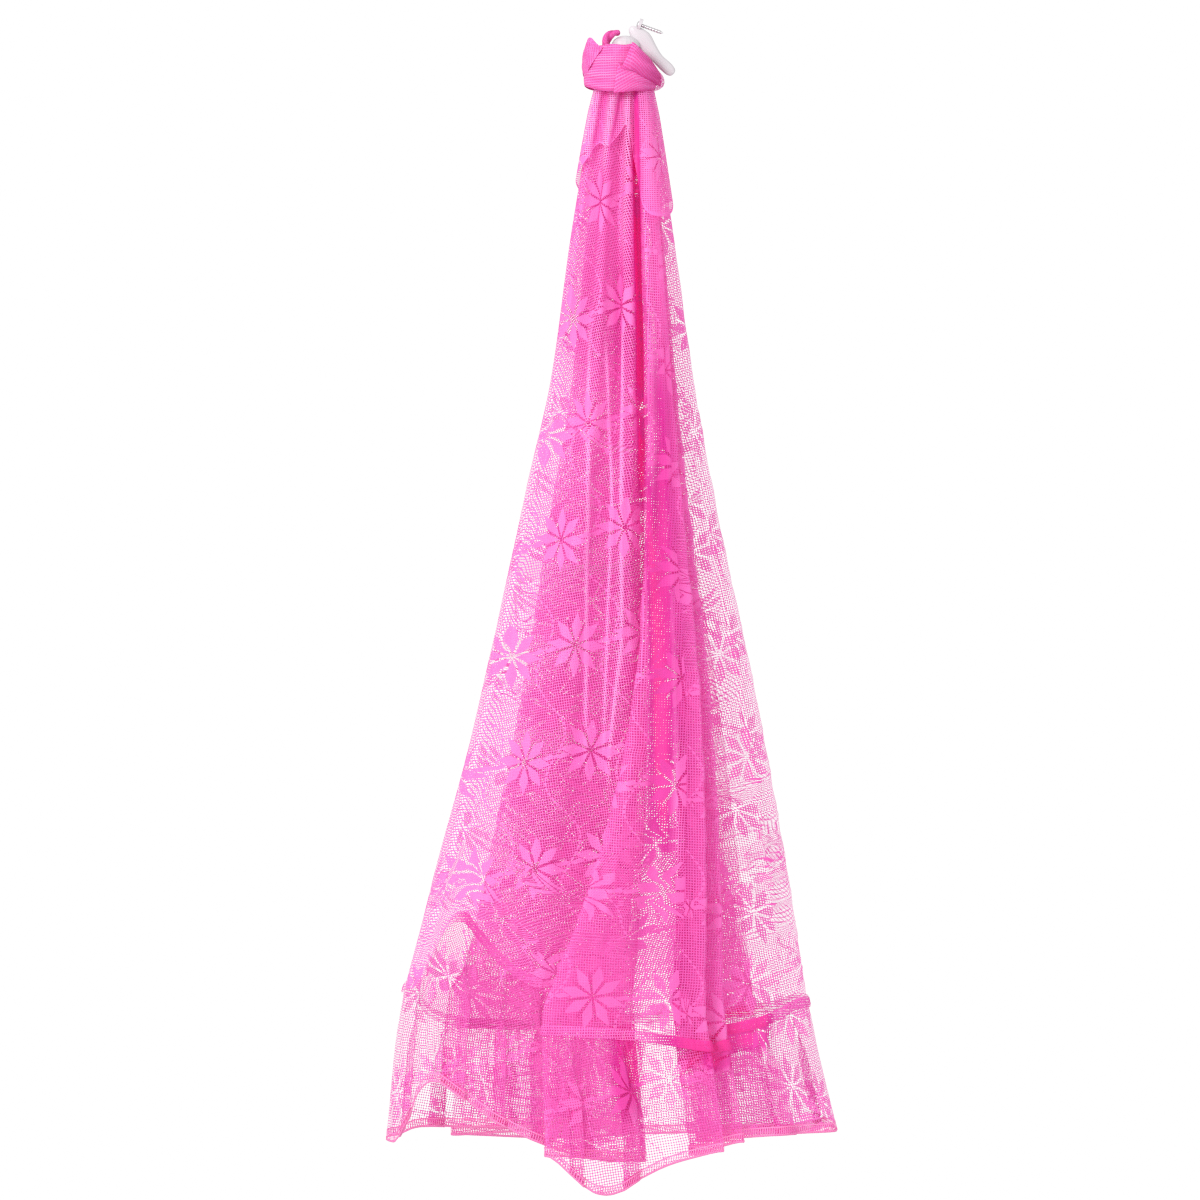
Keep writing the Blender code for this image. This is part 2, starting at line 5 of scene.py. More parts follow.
import bmesh
import bpy
import numpy as np
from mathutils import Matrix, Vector

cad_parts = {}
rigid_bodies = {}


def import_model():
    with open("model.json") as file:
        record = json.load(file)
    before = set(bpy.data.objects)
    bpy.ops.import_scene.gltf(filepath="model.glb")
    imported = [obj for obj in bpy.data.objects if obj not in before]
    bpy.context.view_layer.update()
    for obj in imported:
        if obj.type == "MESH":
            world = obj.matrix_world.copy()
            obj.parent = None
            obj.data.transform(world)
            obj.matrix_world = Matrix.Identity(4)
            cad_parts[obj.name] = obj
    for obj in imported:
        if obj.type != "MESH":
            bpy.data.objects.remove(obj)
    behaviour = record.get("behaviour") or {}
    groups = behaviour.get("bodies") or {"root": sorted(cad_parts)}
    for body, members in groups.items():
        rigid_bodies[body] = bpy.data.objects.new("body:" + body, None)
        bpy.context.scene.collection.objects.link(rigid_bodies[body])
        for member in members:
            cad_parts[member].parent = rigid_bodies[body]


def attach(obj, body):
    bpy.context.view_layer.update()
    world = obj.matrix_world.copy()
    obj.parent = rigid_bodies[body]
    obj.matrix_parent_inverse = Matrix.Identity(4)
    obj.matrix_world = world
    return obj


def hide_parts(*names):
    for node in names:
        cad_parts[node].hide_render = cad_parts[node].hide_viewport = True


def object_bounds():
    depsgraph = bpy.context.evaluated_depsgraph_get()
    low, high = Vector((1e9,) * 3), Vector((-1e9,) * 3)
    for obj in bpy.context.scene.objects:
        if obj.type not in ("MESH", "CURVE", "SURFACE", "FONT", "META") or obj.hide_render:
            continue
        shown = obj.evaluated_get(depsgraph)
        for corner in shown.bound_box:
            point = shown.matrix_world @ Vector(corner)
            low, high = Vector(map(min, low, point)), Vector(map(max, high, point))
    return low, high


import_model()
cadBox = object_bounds()
print("frame loaded")

mm = 0.001
netAxisX = -24.0     # mm, the plumb line that the net hangs about
shoulderZ = -8.27    # mm, the hook's shoulder, which every drop is measured from


def rowsOf(columns, rows):
    names = columns.split()
    return [SimpleNamespace(**dict(zip(names, row))) for row in rows]


def valuesOf(rows, name):
    # one column of a table
    return [getattr(row, name) for row in rows]


def smoothAt(x, xs, ys):
    # a soft curve through a table's values, level past its ends
    xs, ys = np.asarray(xs, float), np.asarray(ys, float)
    slope = np.gradient(ys, xs)
    x = np.clip(x, xs[0], xs[-1])
    i = np.clip(np.searchsorted(xs, x) - 1, 0, len(xs) - 2)
    h = xs[i + 1] - xs[i]
    t = (x - xs[i]) / h
    return ((2 * t**3 - 3 * t**2 + 1) * ys[i] + (t**3 - 2 * t**2 + t) * h * slope[i]
            + (3 * t**2 - 2 * t**3) * ys[i + 1] + (t**3 - t**2) * h * slope[i + 1])


def tableAt(x, rows, key, names, curve=smoothAt):
    # what the named columns of a table say where its key column is x
    return [curve(x, valuesOf(rows, key), valuesOf(rows, name)) for name in names.split()]


def alongRows(x, rows, names):
    # the same by the rows' own order: x is 0 at the first row and 1 at the second
    return [smoothAt(x, np.arange(len(rows)), valuesOf(rows, name)) for name in names.split()]


def fade(value, start, end, soft):
    # 1 between start and end, softly 0 outside them
    return np.clip((value - start) / soft, 0.0, 1.0) * np.clip((end - value) / soft, 0.0, 1.0)


def linear(hexColour):
    # sRGB hex to the linear colour that a shader takes
    parts = [int(hexColour[i:i + 2], 16) / 255 for i in (1, 3, 5)]
    return tuple(p / 12.92 if p <= 0.04045 else ((p + 0.055) / 1.055) ** 2.4 for p in parts) + (1.0,)


def addNode(tree, kind, inputs=None, **settings):
    # one node with its settings, its plain values and its links
    made = tree.nodes.new(kind)
    for name, value in settings.items():
        setattr(made, name, value)
    for name, value in (inputs or {}).items():
        if isinstance(value, bpy.types.NodeSocket):
            tree.links.new(value, made.inputs[name])
        else:
            made.inputs[name].default_value = value
    return made


def addObject(name, data):
    made = bpy.data.objects.new(name, data)
    bpy.context.scene.collection.objects.link(made)
    return made


# the camera, the floor and the light
view = dict(
    middle=(-45.0, -607.5),   # x and z in mm that the picture centres on
    height=1260.0,            # mm from the picture's lower edge to its upper one
    distance=6.0,             # m
)
studio = dict(
    floorDrop=0.55,           # m from the flounce down to the floor
    floor="#f4f2f3",
    backdrop="#ffffff",
    fill=0.82,                # light from all round
    keyPower=104.0,           # W, high on the left
    sidePower=20.0,           # W, low on the right
)

camera = addObject("camera", bpy.data.cameras.new("camera"))
camera.location = (view["middle"][0] * mm, -view["distance"], view["middle"][1] * mm)
camera.rotation_euler = (math.pi / 2, 0.0, 0.0)
camera.data.lens = camera.data.sensor_width * view["distance"] / (view["height"] * mm)
camera.data.clip_end = 60.0
bpy.context.scene.camera = camera
bpy.context.scene.view_settings.view_transform = "Standard"
# the knit is as fine as the picture's grain, and a denoiser would smear it
bpy.context.scene.cycles.use_denoising = False
bpy.context.scene.cycles.filter_width = 1.2
bpy.context.scene.cycles.transparent_max_bounces = 32

world = bpy.data.worlds.new("studio")
bpy.context.scene.world = world
world.use_nodes = True
sky = world.node_tree
sky.nodes.clear()
# the backdrop is seen as pure white, and lights the net a little less than that
seen = addNode(sky, "ShaderNodeBackground", {"Color": linear(studio["backdrop"]), "Strength": 1.0})
lit = addNode(sky, "ShaderNodeBackground", {"Color": linear(studio["backdrop"]), "Strength": studio["fill"]})
path = addNode(sky, "ShaderNodeLightPath")
both = addNode(sky, "ShaderNodeMixShader", {0: path.outputs["Is Camera Ray"], 1: lit.outputs[0],
                                            2: seen.outputs[0]})
addNode(sky, "ShaderNodeOutputWorld", {"Surface": both.outputs[0]})


def newMaterial(name, cleared=True):
    material = bpy.data.materials.new(name)
    material.use_nodes = True
    if cleared:
        material.node_tree.nodes.clear()
    return material


def addLamp(name, place, target, size, power):
    lamp = addObject(name, bpy.data.lights.new(name, "AREA"))
    lamp.data.shape = "SQUARE"
    lamp.data.size = size
    lamp.data.energy = power
    lamp.location = place
    lamp.rotation_euler = (Vector(target) - Vector(place)).to_track_quat("-Z", "Y").to_euler()


addLamp("keyLamp", (-2.2, -2.6, 1.0), (0.0, 0.0, -0.55), 1.4, studio["keyPower"])
addLamp("sideLamp", (2.6, -2.0, -0.9), (0.0, 0.0, -0.6), 1.6, studio["sidePower"])

floorMesh = bpy.data.meshes.new("studioFloor")
shape = bmesh.new()
bmesh.ops.create_grid(shape, x_segments=24, y_segments=24, size=1.0)
shape.to_mesh(floorMesh)
shape.free()
studioFloor = addObject("studioFloor", floorMesh)
studioFloor.location = (view["middle"][0] * mm, 0.0, cadBox[0].z - studio["floorDrop"])
# matt emulsion on board: even and without a sheen
floorMaterial = newMaterial("matt painted board", cleared=False)
floorShader = floorMaterial.node_tree.nodes["Principled BSDF"]
floorShader.inputs["Base Color"].default_value = linear(studio["floor"])
floorShader.inputs["Roughness"].default_value = 0.8
floorMesh.materials.append(floorMaterial)
print("camera, floor and light made")


# the net's knit, in millimetres of real cloth
knit = dict(
    spacing=2.7,              # wale to wale and course to course
    waver=1.1,                # how far a thread strays from its line
    waverScale=55.0,          # of the noise that bends it, about 18 mm from bend to bend
    knot=0.55,                # half width of the knot where two threads cross
    light="#ff84d8",          # thread in the light
    deep="#dc30a2",           # thread in painted shade, down in a fold
    paintedHighlight="#ffb6ee",           # thread with a painted highlight, on the crest of a fold
    paintedGlow="#ff46ac",            # thread with a painted glow in the narrowest grooves, where pink shines through pink
    petal="#fd8bda",          # flowers and leaves, in the light
    petalInPaintedShade="#ee4cb4",      # the same in painted shade, down in a fold
    backing=("#dd4698", "#b81a68"),   # layers behind bunched net, in the light and in painted shade deep down
    glow=0.4,                 # share of its light that a thread passes through
    ribs=2.6,                 # how much fainter the wales of bunched net are than its courses
    flowerSpacing=(80.0, 111.0),
    flowerRadius=35.0,
    petalStart=3.0,
    petalSlopes=(0.34, 0.37), # how fast a petal widens, and narrows to its tip
    petalTurn=20.2,           # radians that the petals are turned, enough to keep each angle positive
    petalThread=1.72,         # thread width inside a petal, where the jacquard fills the holes
    petalThinning=1.6,        # how much a petal loses or gains with its cloth's density
    eyelet=1.0,               # half width of the row of eyelets between two petals
    eyeletBar=0.45,           # half of the thread between two eyelets
    eyeletReach=0.74,         # how far out they go, as a share of the flower's radius
    stemWidth=1.3,
    stemSway=15.0,
    stemBar=1.1,
    leaf=17.0,
    leafSlopes=(0.42, 0.34),
)


def knitUp(tree, solid, thread, glow, height, strength, depth, hole=None):
    # rounded threads that pass some light through, with holes between them
    relief = addNode(tree, "ShaderNodeBump", {"Strength": strength, "Distance": depth, "Height": height},
                     invert=True)
    body = addNode(tree, "ShaderNodeBsdfPrincipled", {**thread, "Normal": relief.outputs[0]})
    shine = addNode(tree, "ShaderNodeBsdfTranslucent", {"Color": thread["Base Color"]})
    thin = addNode(tree, "ShaderNodeMixShader", {0: glow, 1: body.outputs[0], 2: shine.outputs[0]})
    hole = hole or addNode(tree, "ShaderNodeBsdfTransparent")
    cover = addNode(tree, "ShaderNodeMixShader", {0: solid, 1: hole.outputs[0], 2: thin.outputs[0]})
    addNode(tree, "ShaderNodeOutputMaterial", {"Surface": cover.outputs[0]})


def makeNetMaterial(name, thread, bunched=False):
    # Polyester marquisette, warp knitted on a raschel machine: an open square mesh of fine
    # threads that lets white through, and flowers where the holes are knitted nearly shut.
    material = newMaterial(name)
    tree = material.node_tree
    cloth = addNode(tree, "ShaderNodeUVMap", uv_map="cloth")
    clothXY = addNode(tree, "ShaderNodeSeparateXYZ", {0: cloth.outputs[0]})
    flower = addNode(tree, "ShaderNodeUVMap", uv_map="flower")
    flowerXY = addNode(tree, "ShaderNodeSeparateXYZ", {0: flower.outputs[0]})
    dense = addNode(tree, "ShaderNodeAttribute", attribute_name="dense")
    # the painted shade at each point, which is painted highlight where it is negative
    deep = addNode(tree, "ShaderNodeAttribute", attribute_name="deep")
    stray = addNode(tree, "ShaderNodeTexNoise", {"Vector": cloth.outputs[0], "Scale": knit["waverScale"],
                                                 "Detail": 1.0}, noise_dimensions="2D")
    strayXY = addNode(tree, "ShaderNodeSeparateXYZ", {0: stray.outputs["Color"]})
    radius, spacing = knit["flowerRadius"], knit["spacing"]
    widens, narrows = knit["petalSlopes"]
    leafWidens, leafNarrows = knit["leafSlopes"]
    known = dict(u=clothXY.outputs[0], v=clothXY.outputs[1], x=flowerXY.outputs[0], y=flowerXY.outputs[1],
                 dense=dense.outputs["Fac"], paintedShadeLevel=deep.outputs["Fac"], strayU=strayXY.outputs[0],
                 strayV=strayXY.outputs[1])
    for label, operation, *values in [
        # painted highlight where that shade is negative, and painted glow where it passes 1
        ("paintedHighlightLevel", "MULTIPLY", "paintedShadeLevel", -1.0),
        ("paintedGlowLevel", "SUBTRACT", "paintedShadeLevel", 1.0),
        # the mesh
        ("flatU", "MULTIPLY", "u", 1000.0),
        ("flatV", "MULTIPLY", "v", 1000.0),
        ("across", "MULTIPLY_ADD", "strayU", knit["waver"], "flatU"),
        ("down", "MULTIPLY_ADD", "strayV", knit["waver"], "flatV"),
        ("fromWale", "PINGPONG", "across", spacing / 2),
        ("fromCourse", "PINGPONG", "down", spacing / 2),
        ("waleAway", "MULTIPLY", "fromWale", knit["ribs"] if bunched else 1.0),
        ("fromThread", "MINIMUM", "waleAway", "fromCourse"),
        ("fromBoth", "MAXIMUM", "fromWale", "fromCourse"),
        ("crossing", "LESS_THAN", "fromBoth", knit["knot"]),
        # eight kite-shaped petals about the flower's middle
        ("fx", "MULTIPLY", "x", 1000.0),
        ("fy", "MULTIPLY", "y", 1000.0),
        ("xx", "MULTIPLY", "fx", "fx"),
        ("rr", "MULTIPLY_ADD", "fy", "fy", "xx"),
        ("r", "SQRT", "rr"),
        ("turn", "ARCTAN2", "fy", "fx"),
        ("turned", "ADD", "turn", knit["petalTurn"]),
        ("fromPetal", "PINGPONG", "turned", math.pi / 8),
        ("cosine", "COSINE", "fromPetal"),
        ("sine", "SINE", "fromPetal"),
        ("along", "MULTIPLY", "r", "cosine"),
        ("side", "MULTIPLY", "r", "sine"),
        ("inner", "MULTIPLY_ADD", "along", widens, -widens * knit["petalStart"]),
        ("outer", "MULTIPLY_ADD", "along", -narrows, narrows * radius),
        ("kite", "MINIMUM", "inner", "outer"),
        ("petal", "GREATER_THAN", "kite", "side"),
        # a row of eyelets between each two petals
        ("fromRay", "SUBTRACT", math.pi / 8, "fromPetal"),
        ("raySine", "SINE", "fromRay"),
        ("offRay", "MULTIPLY", "r", "raySine"),
        ("onRay", "LESS_THAN", "offRay", knit["eyelet"]),
        ("rayShort", "LESS_THAN", "r", radius * knit["eyeletReach"]),
        ("dots", "PINGPONG", "r", spacing / 2),
        ("dotted", "GREATER_THAN", "dots", knit["eyeletBar"]),
        ("rayDotted", "MULTIPLY", "onRay", "rayShort"),
        ("eyelet", "MULTIPLY", "rayDotted", "dotted"),
        # dotted stems wander down between the flowers, with a pair of leaves on each
        ("sway", "MULTIPLY", "flatV", 2 * math.pi / knit["flowerSpacing"][1]),
        ("swaySine", "SINE", "sway"),
        ("stemAt", "MULTIPLY_ADD", "swaySine", knit["stemSway"], "flatU"),
        ("stemHere", "ADD", "stemAt", knit["flowerSpacing"][0] / 2),
        ("fromStem", "PINGPONG", "stemHere", knit["flowerSpacing"][0] / 2),
        ("onStem", "LESS_THAN", "fromStem", knit["stemWidth"]),
        ("stemDots", "PINGPONG", "flatV", spacing),
        ("stemDotted", "GREATER_THAN", "stemDots", knit["stemBar"]),
        ("stem", "MULTIPLY", "onStem", "stemDotted"),
        ("fromLeaf", "PINGPONG", "flatV", knit["flowerSpacing"][1] / 2),
        ("leafInner", "MULTIPLY", "fromStem", leafWidens),
        ("leafOuter", "MULTIPLY_ADD", "fromStem", -leafNarrows, leafNarrows * knit["leaf"]),
        ("leafWidth", "MINIMUM", "leafInner", "leafOuter"),
        ("leaf", "GREATER_THAN", "leafWidth", "fromLeaf"),
        ("growth", "MAXIMUM", "stem", "leaf"),
        ("filled", "MAXIMUM", "petal", "growth"),
        # how wide the threads are here, and whether this point is thread or hole
        ("fullness", "MULTIPLY_ADD", "dense", knit["petalThinning"], (knit["petalThread"] - thread) / 2),
        ("half", "MULTIPLY_ADD", "filled", "fullness", thread / 2),
        ("halfHere", "ADD", "half", "dense"),
        ("onThread", "LESS_THAN", "fromThread", "halfHere"),
        ("knotted", "MAXIMUM", "onThread", "crossing"),
        ("noEyelet", "SUBTRACT", 1.0, "eyelet"),
        ("solid", "MULTIPLY", "knotted", "noEyelet"),
    ]:
        inputs = {i: known.get(value, value) for i, value in enumerate(values)}
        known[label] = addNode(tree, "ShaderNodeMath", inputs, operation=operation, label=label).outputs[0]
    # painted highlight on the crests of folds, painted shade down in them and painted glow in the narrowest,
    # where pink shines through pink; the flowers take painted shade too
    for label, factor, start, end in [
        ("crest", "paintedHighlightLevel", linear(knit["light"]), linear(knit["paintedHighlight"])),
        ("shade", "paintedShadeLevel", "crest", linear(knit["deep"])),
        ("threadLitAndShaded", "paintedGlowLevel", "shade", linear(knit["paintedGlow"])),
        ("flowers", "paintedShadeLevel", linear(knit["petal"]), linear(knit["petalInPaintedShade"])),
        ("colour", "filled", "threadLitAndShaded", "flowers"),
    ]:
        inputs = {0: known[factor], 6: known.get(start, start), 7: known.get(end, end)}
        known[label] = addNode(tree, "ShaderNodeMix", inputs, data_type="RGBA").outputs[2]
    hole = None
    if bunched:
        # behind each hole lie more layers of the same net, stood in for by a flat pink in the light and in
        # painted shade deep down
        behind = addNode(tree, "ShaderNodeMix", {0: known["paintedShadeLevel"], 6: linear(knit["backing"][0]),
                                                 7: linear(knit["backing"][1])}, data_type="RGBA")
        hole = addNode(tree, "ShaderNodeBsdfPrincipled", {"Base Color": behind.outputs[2], "Roughness": 0.7})
    thread = {"Base Color": known["colour"], "Roughness": 0.5, "Specular IOR Level": 0.35}
    knitUp(tree, known["solid"], thread, knit["glow"], known["fromThread"], 0.5, 0.0003, hole)
    return material


# the hem's overlocked seam, in mm
overlock = dict(
    colour="#ff9ad4",
    needle=1.3,               # width of the needle line along its upper side
    edge=7.5,                 # where the corded edge begins
    slant=0.25,               # mm that a loop leans for each mm down
    loop=1.25,                # half of the way from one loop to the next
    thread=0.4,               # half a loop's width
    glow=0.35,
)


def makeStitchMaterial(name):
    # Overlock seam in polyester thread: a needle line, a corded edge and slanting loops between.
    material = newMaterial(name)
    tree = material.node_tree
    cloth = addNode(tree, "ShaderNodeUVMap", uv_map="cloth")
    clothXY = addNode(tree, "ShaderNodeSeparateXYZ", {0: cloth.outputs[0]})
    known = dict(u=clothXY.outputs[0], v=clothXY.outputs[1])
    for label, operation, *values in [
        ("across", "MULTIPLY", "u", 1000.0),
        ("down", "MULTIPLY", "v", 1000.0),
        ("needle", "LESS_THAN", "down", overlock["needle"]),
        ("edge", "GREATER_THAN", "down", overlock["edge"]),
        ("lines", "MAXIMUM", "needle", "edge"),
        ("slant", "MULTIPLY_ADD", "down", overlock["slant"], "across"),
        ("loop", "PINGPONG", "slant", overlock["loop"]),
        ("onLoop", "LESS_THAN", "loop", overlock["thread"]),
        ("solid", "MAXIMUM", "lines", "onLoop"),
    ]:
        inputs = {i: known.get(value, value) for i, value in enumerate(values)}
        known[label] = addNode(tree, "ShaderNodeMath", inputs, operation=operation, label=label).outputs[0]
    thread = {"Base Color": linear(overlock["colour"]), "Roughness": 0.45}
    knitUp(tree, known["solid"], thread, overlock["glow"], known["loop"], 0.6, 0.0004)
    return material


netMaterial = makeNetMaterial("polyester marquisette, raschel knitted", thread=0.5)
tapeMaterial = makeNetMaterial("polyester marquisette, folded into a tape", thread=1.3)
bunchedMaterial = makeNetMaterial("polyester marquisette, bunched in many layers", thread=1.15, bunched=True)
stitchMaterial = makeStitchMaterial("polyester thread, overlocked")
print("cloth materials made")

# the net's body
net = dict(
    # mm more thread on each side of the mesh
    neckDense=0.26,           # where the neck's gathers draw it together
    veilDense=0.20,           # in the panels behind, whose folds are more than are modelled
    veilSoft=34.0,            # mm over which that begins on each side
    looseDense=0.30,          # in the loose layer low on the right
    looseSoft=4.0,
    openDense=-0.17,          # where the cloth is drawn open beside the front pleat
    gathered=(150.0, 460.0),  # mm of drop between which the neck's gathers let go
    gathering=1.45,           # how much finer the knit looks where it is gathered
    neckFades=(120.0, 420.0), # mm of drop between which its closer threads let go
    ripple=0.5,               # mm, height of the fine ripples and of the long swells
    rippleScale=(3.7, 90.0),  # mm for each radian, along the cloth and down it
    swellScale=(10.0, 37.0),
    rippling=((180.0, 450.0), (0.1, 1.0)),       # the share of it at these drops
    creaseFade=90.0,          # mm over which a crease begins and ends
    hollowReach=22.0,         # mm round a point that a hollow is judged over
    hollowShade=0.07,          # painted shade for each mm of a hollow
    neckShade=((150.0, 330.0), (0.35, 1.0)),      # the share of that painted shade at these drops
    behindShade=((860.0, 1030.0), (1.0, 0.4)),    # and in the panels behind
    openPatch=(18.0, 56.0, 985.0, 1100.0),       # left, right, top and bottom of the opening
    foldSamples=18,           # points round a soft fold
    turnSamples=3,            # points at each corner of a hairpin
    rows=110,
    least=4.0,                # mm, the tightest hairpin
)
sections = rowsOf("name drop left right depth", [
    ("top",       46,   -21,    30,   17),
    ("neck",      69,   -26,    34,   22),
    ("capHem",   200,   -49,    54,   34),
    ("waist",    390,   -77,    81,   50),
    ("hip",      495,  -101,   100,   59),
    ("knee",     705,  -147,   144,   77),
    ("calf",     915,  -202,   181,   96),
    ("tape",    1020,  -229,   197,  105),
    ("hem",     1160,  -245,   229,  122),
])
dropOf = {section.name: section.drop for section in sections}
# The folds on a walk round the net, left edge, front, right edge, back: where each lies across
# the width and the depth at the neck and at the tape, and its hairpin's height in mm.
folds = rowsOf("name neck tape sweep neckDepth tapeDepth turn tapeDrop hemDrop", [
    ("leftEdge",    -1.00, -1.00, 1,   0.00,   0.02,  -56,  1006, 1165),
    ("leftBulge",   -0.84, -0.84, 1,  -0.62,  -0.50,    0,   912, 1085),
    ("leftGroove",  -0.64, -0.60, 1,  -0.42,  -0.62,    0,   962, 1128),
    ("leftCrest",   -0.36, -0.42, 1,  -0.95,  -0.80,    0,   990, 1150),
    ("midGroove",   -0.08, -0.20, 1,  -0.50,  -0.74,    0,  1008, 1172),
    ("midCrest",     0.17, -0.02, 1,  -0.98,  -0.80,    0,  1018, 1180),
    ("underFold",    0.34,  0.14, 1,  -0.36,  -0.84,   -8,  1035, 1178),
    ("pleatLeft",    0.42, -0.30, 2,  -0.92,  -0.95,   -8,  1043, 1172),
    ("pleatCrest",   0.54, -0.04, 1,  -1.10,  -1.04,    0,  1045, 1222),
    ("pleatRight",   0.66,  0.19, 1,  -1.02,  -0.90,    0,  1050, 1184),
    ("bandOuter",    0.78,  0.49, 1,  -0.82,  -0.86,    8,  1060, 1168),
    ("bandLeft",     0.60,  0.33, 1,  -0.60,  -0.78,    8,  1080, 1172),
    ("bandRight",    0.82,  0.58, 1,  -0.40,  -0.70,    8,  1060, 1160),
    ("secondLeft",   0.60,  0.37, 1,  -0.18,  -0.62,    8,  1050, 1160),
    ("rightCrest",   0.82,  0.70, 1,  -0.06,  -0.56,    0,  1042, 1155),
    ("rightFold",    0.91,  0.86, 1,   0.00,  -0.34,    0,  1030, 1155),
    ("rightEdge",    1.00,  1.00, 1,   0.26,   0.04,   44,  1020, 1155),
    ("backRight",    0.80,  0.86, 1,   0.72,   0.62,    0,  1030, 1165),
    ("rightUnder",   0.34,  0.40, 1,   0.98,   0.88,   -8,  1045, 1172),
    ("rightOver",    0.70,  0.74, 1,   0.62,   0.62,   -8,  1035, 1165),
    ("backLink",     0.16,  0.20, 1,   0.76,   0.84,    0,  1045, 1168),
    ("backRidge",   -0.15, -0.10, 1,   1.02,   1.02,    0,  1050, 1175),
    ("backGroove",  -0.38, -0.34, 1,   0.88,   0.94,    0,  1055, 1175),
    ("backTurn",    -0.70, -0.72, 1,   0.80,   0.84,   -8,  1050, 1170),
    ("between",     -0.25, -0.30, 1,   0.70,   0.84,    0,  1050, 1165),
    ("innerTurn",    0.30,  0.10, 1,   0.48,   0.74,   -8,  1045, 1160),
    ("innerMid",    -0.30, -0.30, 1,   0.48,   0.74,    0,  1050, 1160),
    ("innerLeft",   -0.68, -0.68, 1,   0.44,   0.64,    0,  1050, 1160),
    ("backLeft",    -0.90, -0.88, 1,   0.34,   0.40,    0,  1035, 1155),
])
foldNames = valuesOf(folds, "name")
# Panels between hidden turns. Each has its own grain: a line of thread through the point
# (x, drop), leaning so many degrees to the right as it falls, with a flower at that point.
# dense draws a panel's threads closer, in mm, and its last column is the painted shade it takes, most on the
# back and inner panels
panels = rowsOf("name first last lean x drop dense deep", [
    ("frontLeft",  "leftEdge",   "underFold",   9.0,  -46.0, 646.0,  0.06, 0.20),
    ("frontPleat", "pleatLeft",  "pleatRight", -3.0,  -17.0, 787.0,  0.10, 0.42),
    ("band",       "bandOuter",  "secondLeft", -4.0,   58.0, 698.0,  0.24, 0.55),
    ("right",      "rightCrest", "rightEdge",  15.0,  104.0, 656.0, -0.13, 0.50),
    ("backRight",  "backRight",  "rightOver",  10.0,  103.0, 712.0, -0.10, 0.42),
    ("back",       "backLink",   "backTurn",  -20.0,  -30.0, 600.0,  0.06, 0.80),
    ("inner",      "between",    "backLeft",   28.0,  -60.0, 560.0,  0.12, 0.85),
])
# Creases run down the cloth beside a fold: share is how far on towards the next fold, top and
# bottom are drops, and out is how far in mm the crease stands out. A crease may also draw the
# threads closer (dense, in mm) or carry painted shade, which is painted highlight where it is negative.
creases = rowsOf("fold share top bottom width out dense deep", [
    ("leftEdge",   0.50, 280, 1010, 42,  0.0,  0.05, -0.32),
    ("leftEdge",   0.60, 120,  700,  5,  1.6,  0.00, -0.10),
    ("leftBulge",  0.20,  90,  420,  4, -1.8,  0.04,  0.15),
    ("leftBulge",  0.50, 380,  960, 28,  0.0,  0.05, -0.20),
    ("leftBulge",  0.70, 200,  980,  6,  2.0,  0.00, -0.12),
    ("leftGroove", 0.30,  60,  330,  4, -2.4,  0.08,  0.40),
    ("leftGroove", 0.75, 300,  900,  5,  1.6,  0.00, -0.12),
    ("leftCrest",  0.10,  80,  600,  4,  2.2, -0.02, -0.28),
    ("leftCrest",  0.50, 380,  940,  7, -2.0,  0.05,  0.22),
    ("midGroove",  0.20,  60,  460,  4, -2.6,  0.08,  0.45),
    ("midGroove",  0.60, 150,  800,  4,  1.8,  0.00, -0.22),
    ("midCrest",   0.15,  70,  640,  4,  2.2, -0.02, -0.25),
    ("midCrest",   0.70,  60,  500,  6, -2.0,  0.45,  0.80),
    ("midCrest",   0.60, 520, 1000,  6, -1.6,  0.06,  0.25),
    ("pleatLeft",  0.50, 500, 1000,  7,  1.8,  0.00, -0.20),
    ("pleatLeft",  0.80, 640, 1040,  5, -1.5,  0.06,  0.20),
    ("pleatCrest", 0.30,  90,  560,  5,  1.8,  0.00, -0.15),
    ("pleatCrest", 0.70, 420, 1030,  7, -2.0,  0.08,  0.20),
    ("pleatRight", 0.40, 100,  700,  5,  1.5,  0.00, -0.15),
    ("pleatCrest", 0.95, 300,  860, 12,  0.0,  0.30,  0.35),
    ("pleatRight", 0.10, 300,  800, 12,  0.0,  0.30,  0.40),
    ("rightCrest", 0.30, 300, 1010,  5,  1.8,  0.05,  0.10),
    ("rightCrest", 0.80, 500, 1000,  4, -1.5,  0.00, -0.10),
    ("rightFold",  0.40, 420,  980,  4,  2.0,  0.05,  0.10),
    ("backRight",  0.50, 200,  900,  7,  2.0,  0.02,  0.00),
    ("backLink",   0.40, 200, 1000,  8, -2.5,  0.03,  0.00),
    ("backRidge",  0.30, 100,  700,  7,  2.4,  0.00, -0.10),
    ("backGroove", 0.50, 300, 1000,  7, -2.0,  0.03,  0.05),
    ("backTurn",   0.50, 300, 1040, 44,  0.0, -0.22, -0.40),
    ("innerTurn",  0.50, 300, 1040, 40,  0.0, -0.18, -0.20),
    ("innerMid",   0.50, 200,  900,  7,  2.0,  0.03,  0.00),
    ("innerLeft",  0.60, 300, 1040, 48,  0.0, -0.22, -0.40),
    ("rightUnder", 0.50, 300, 1040, 22,  0.0, -0.12,  0.00),
])
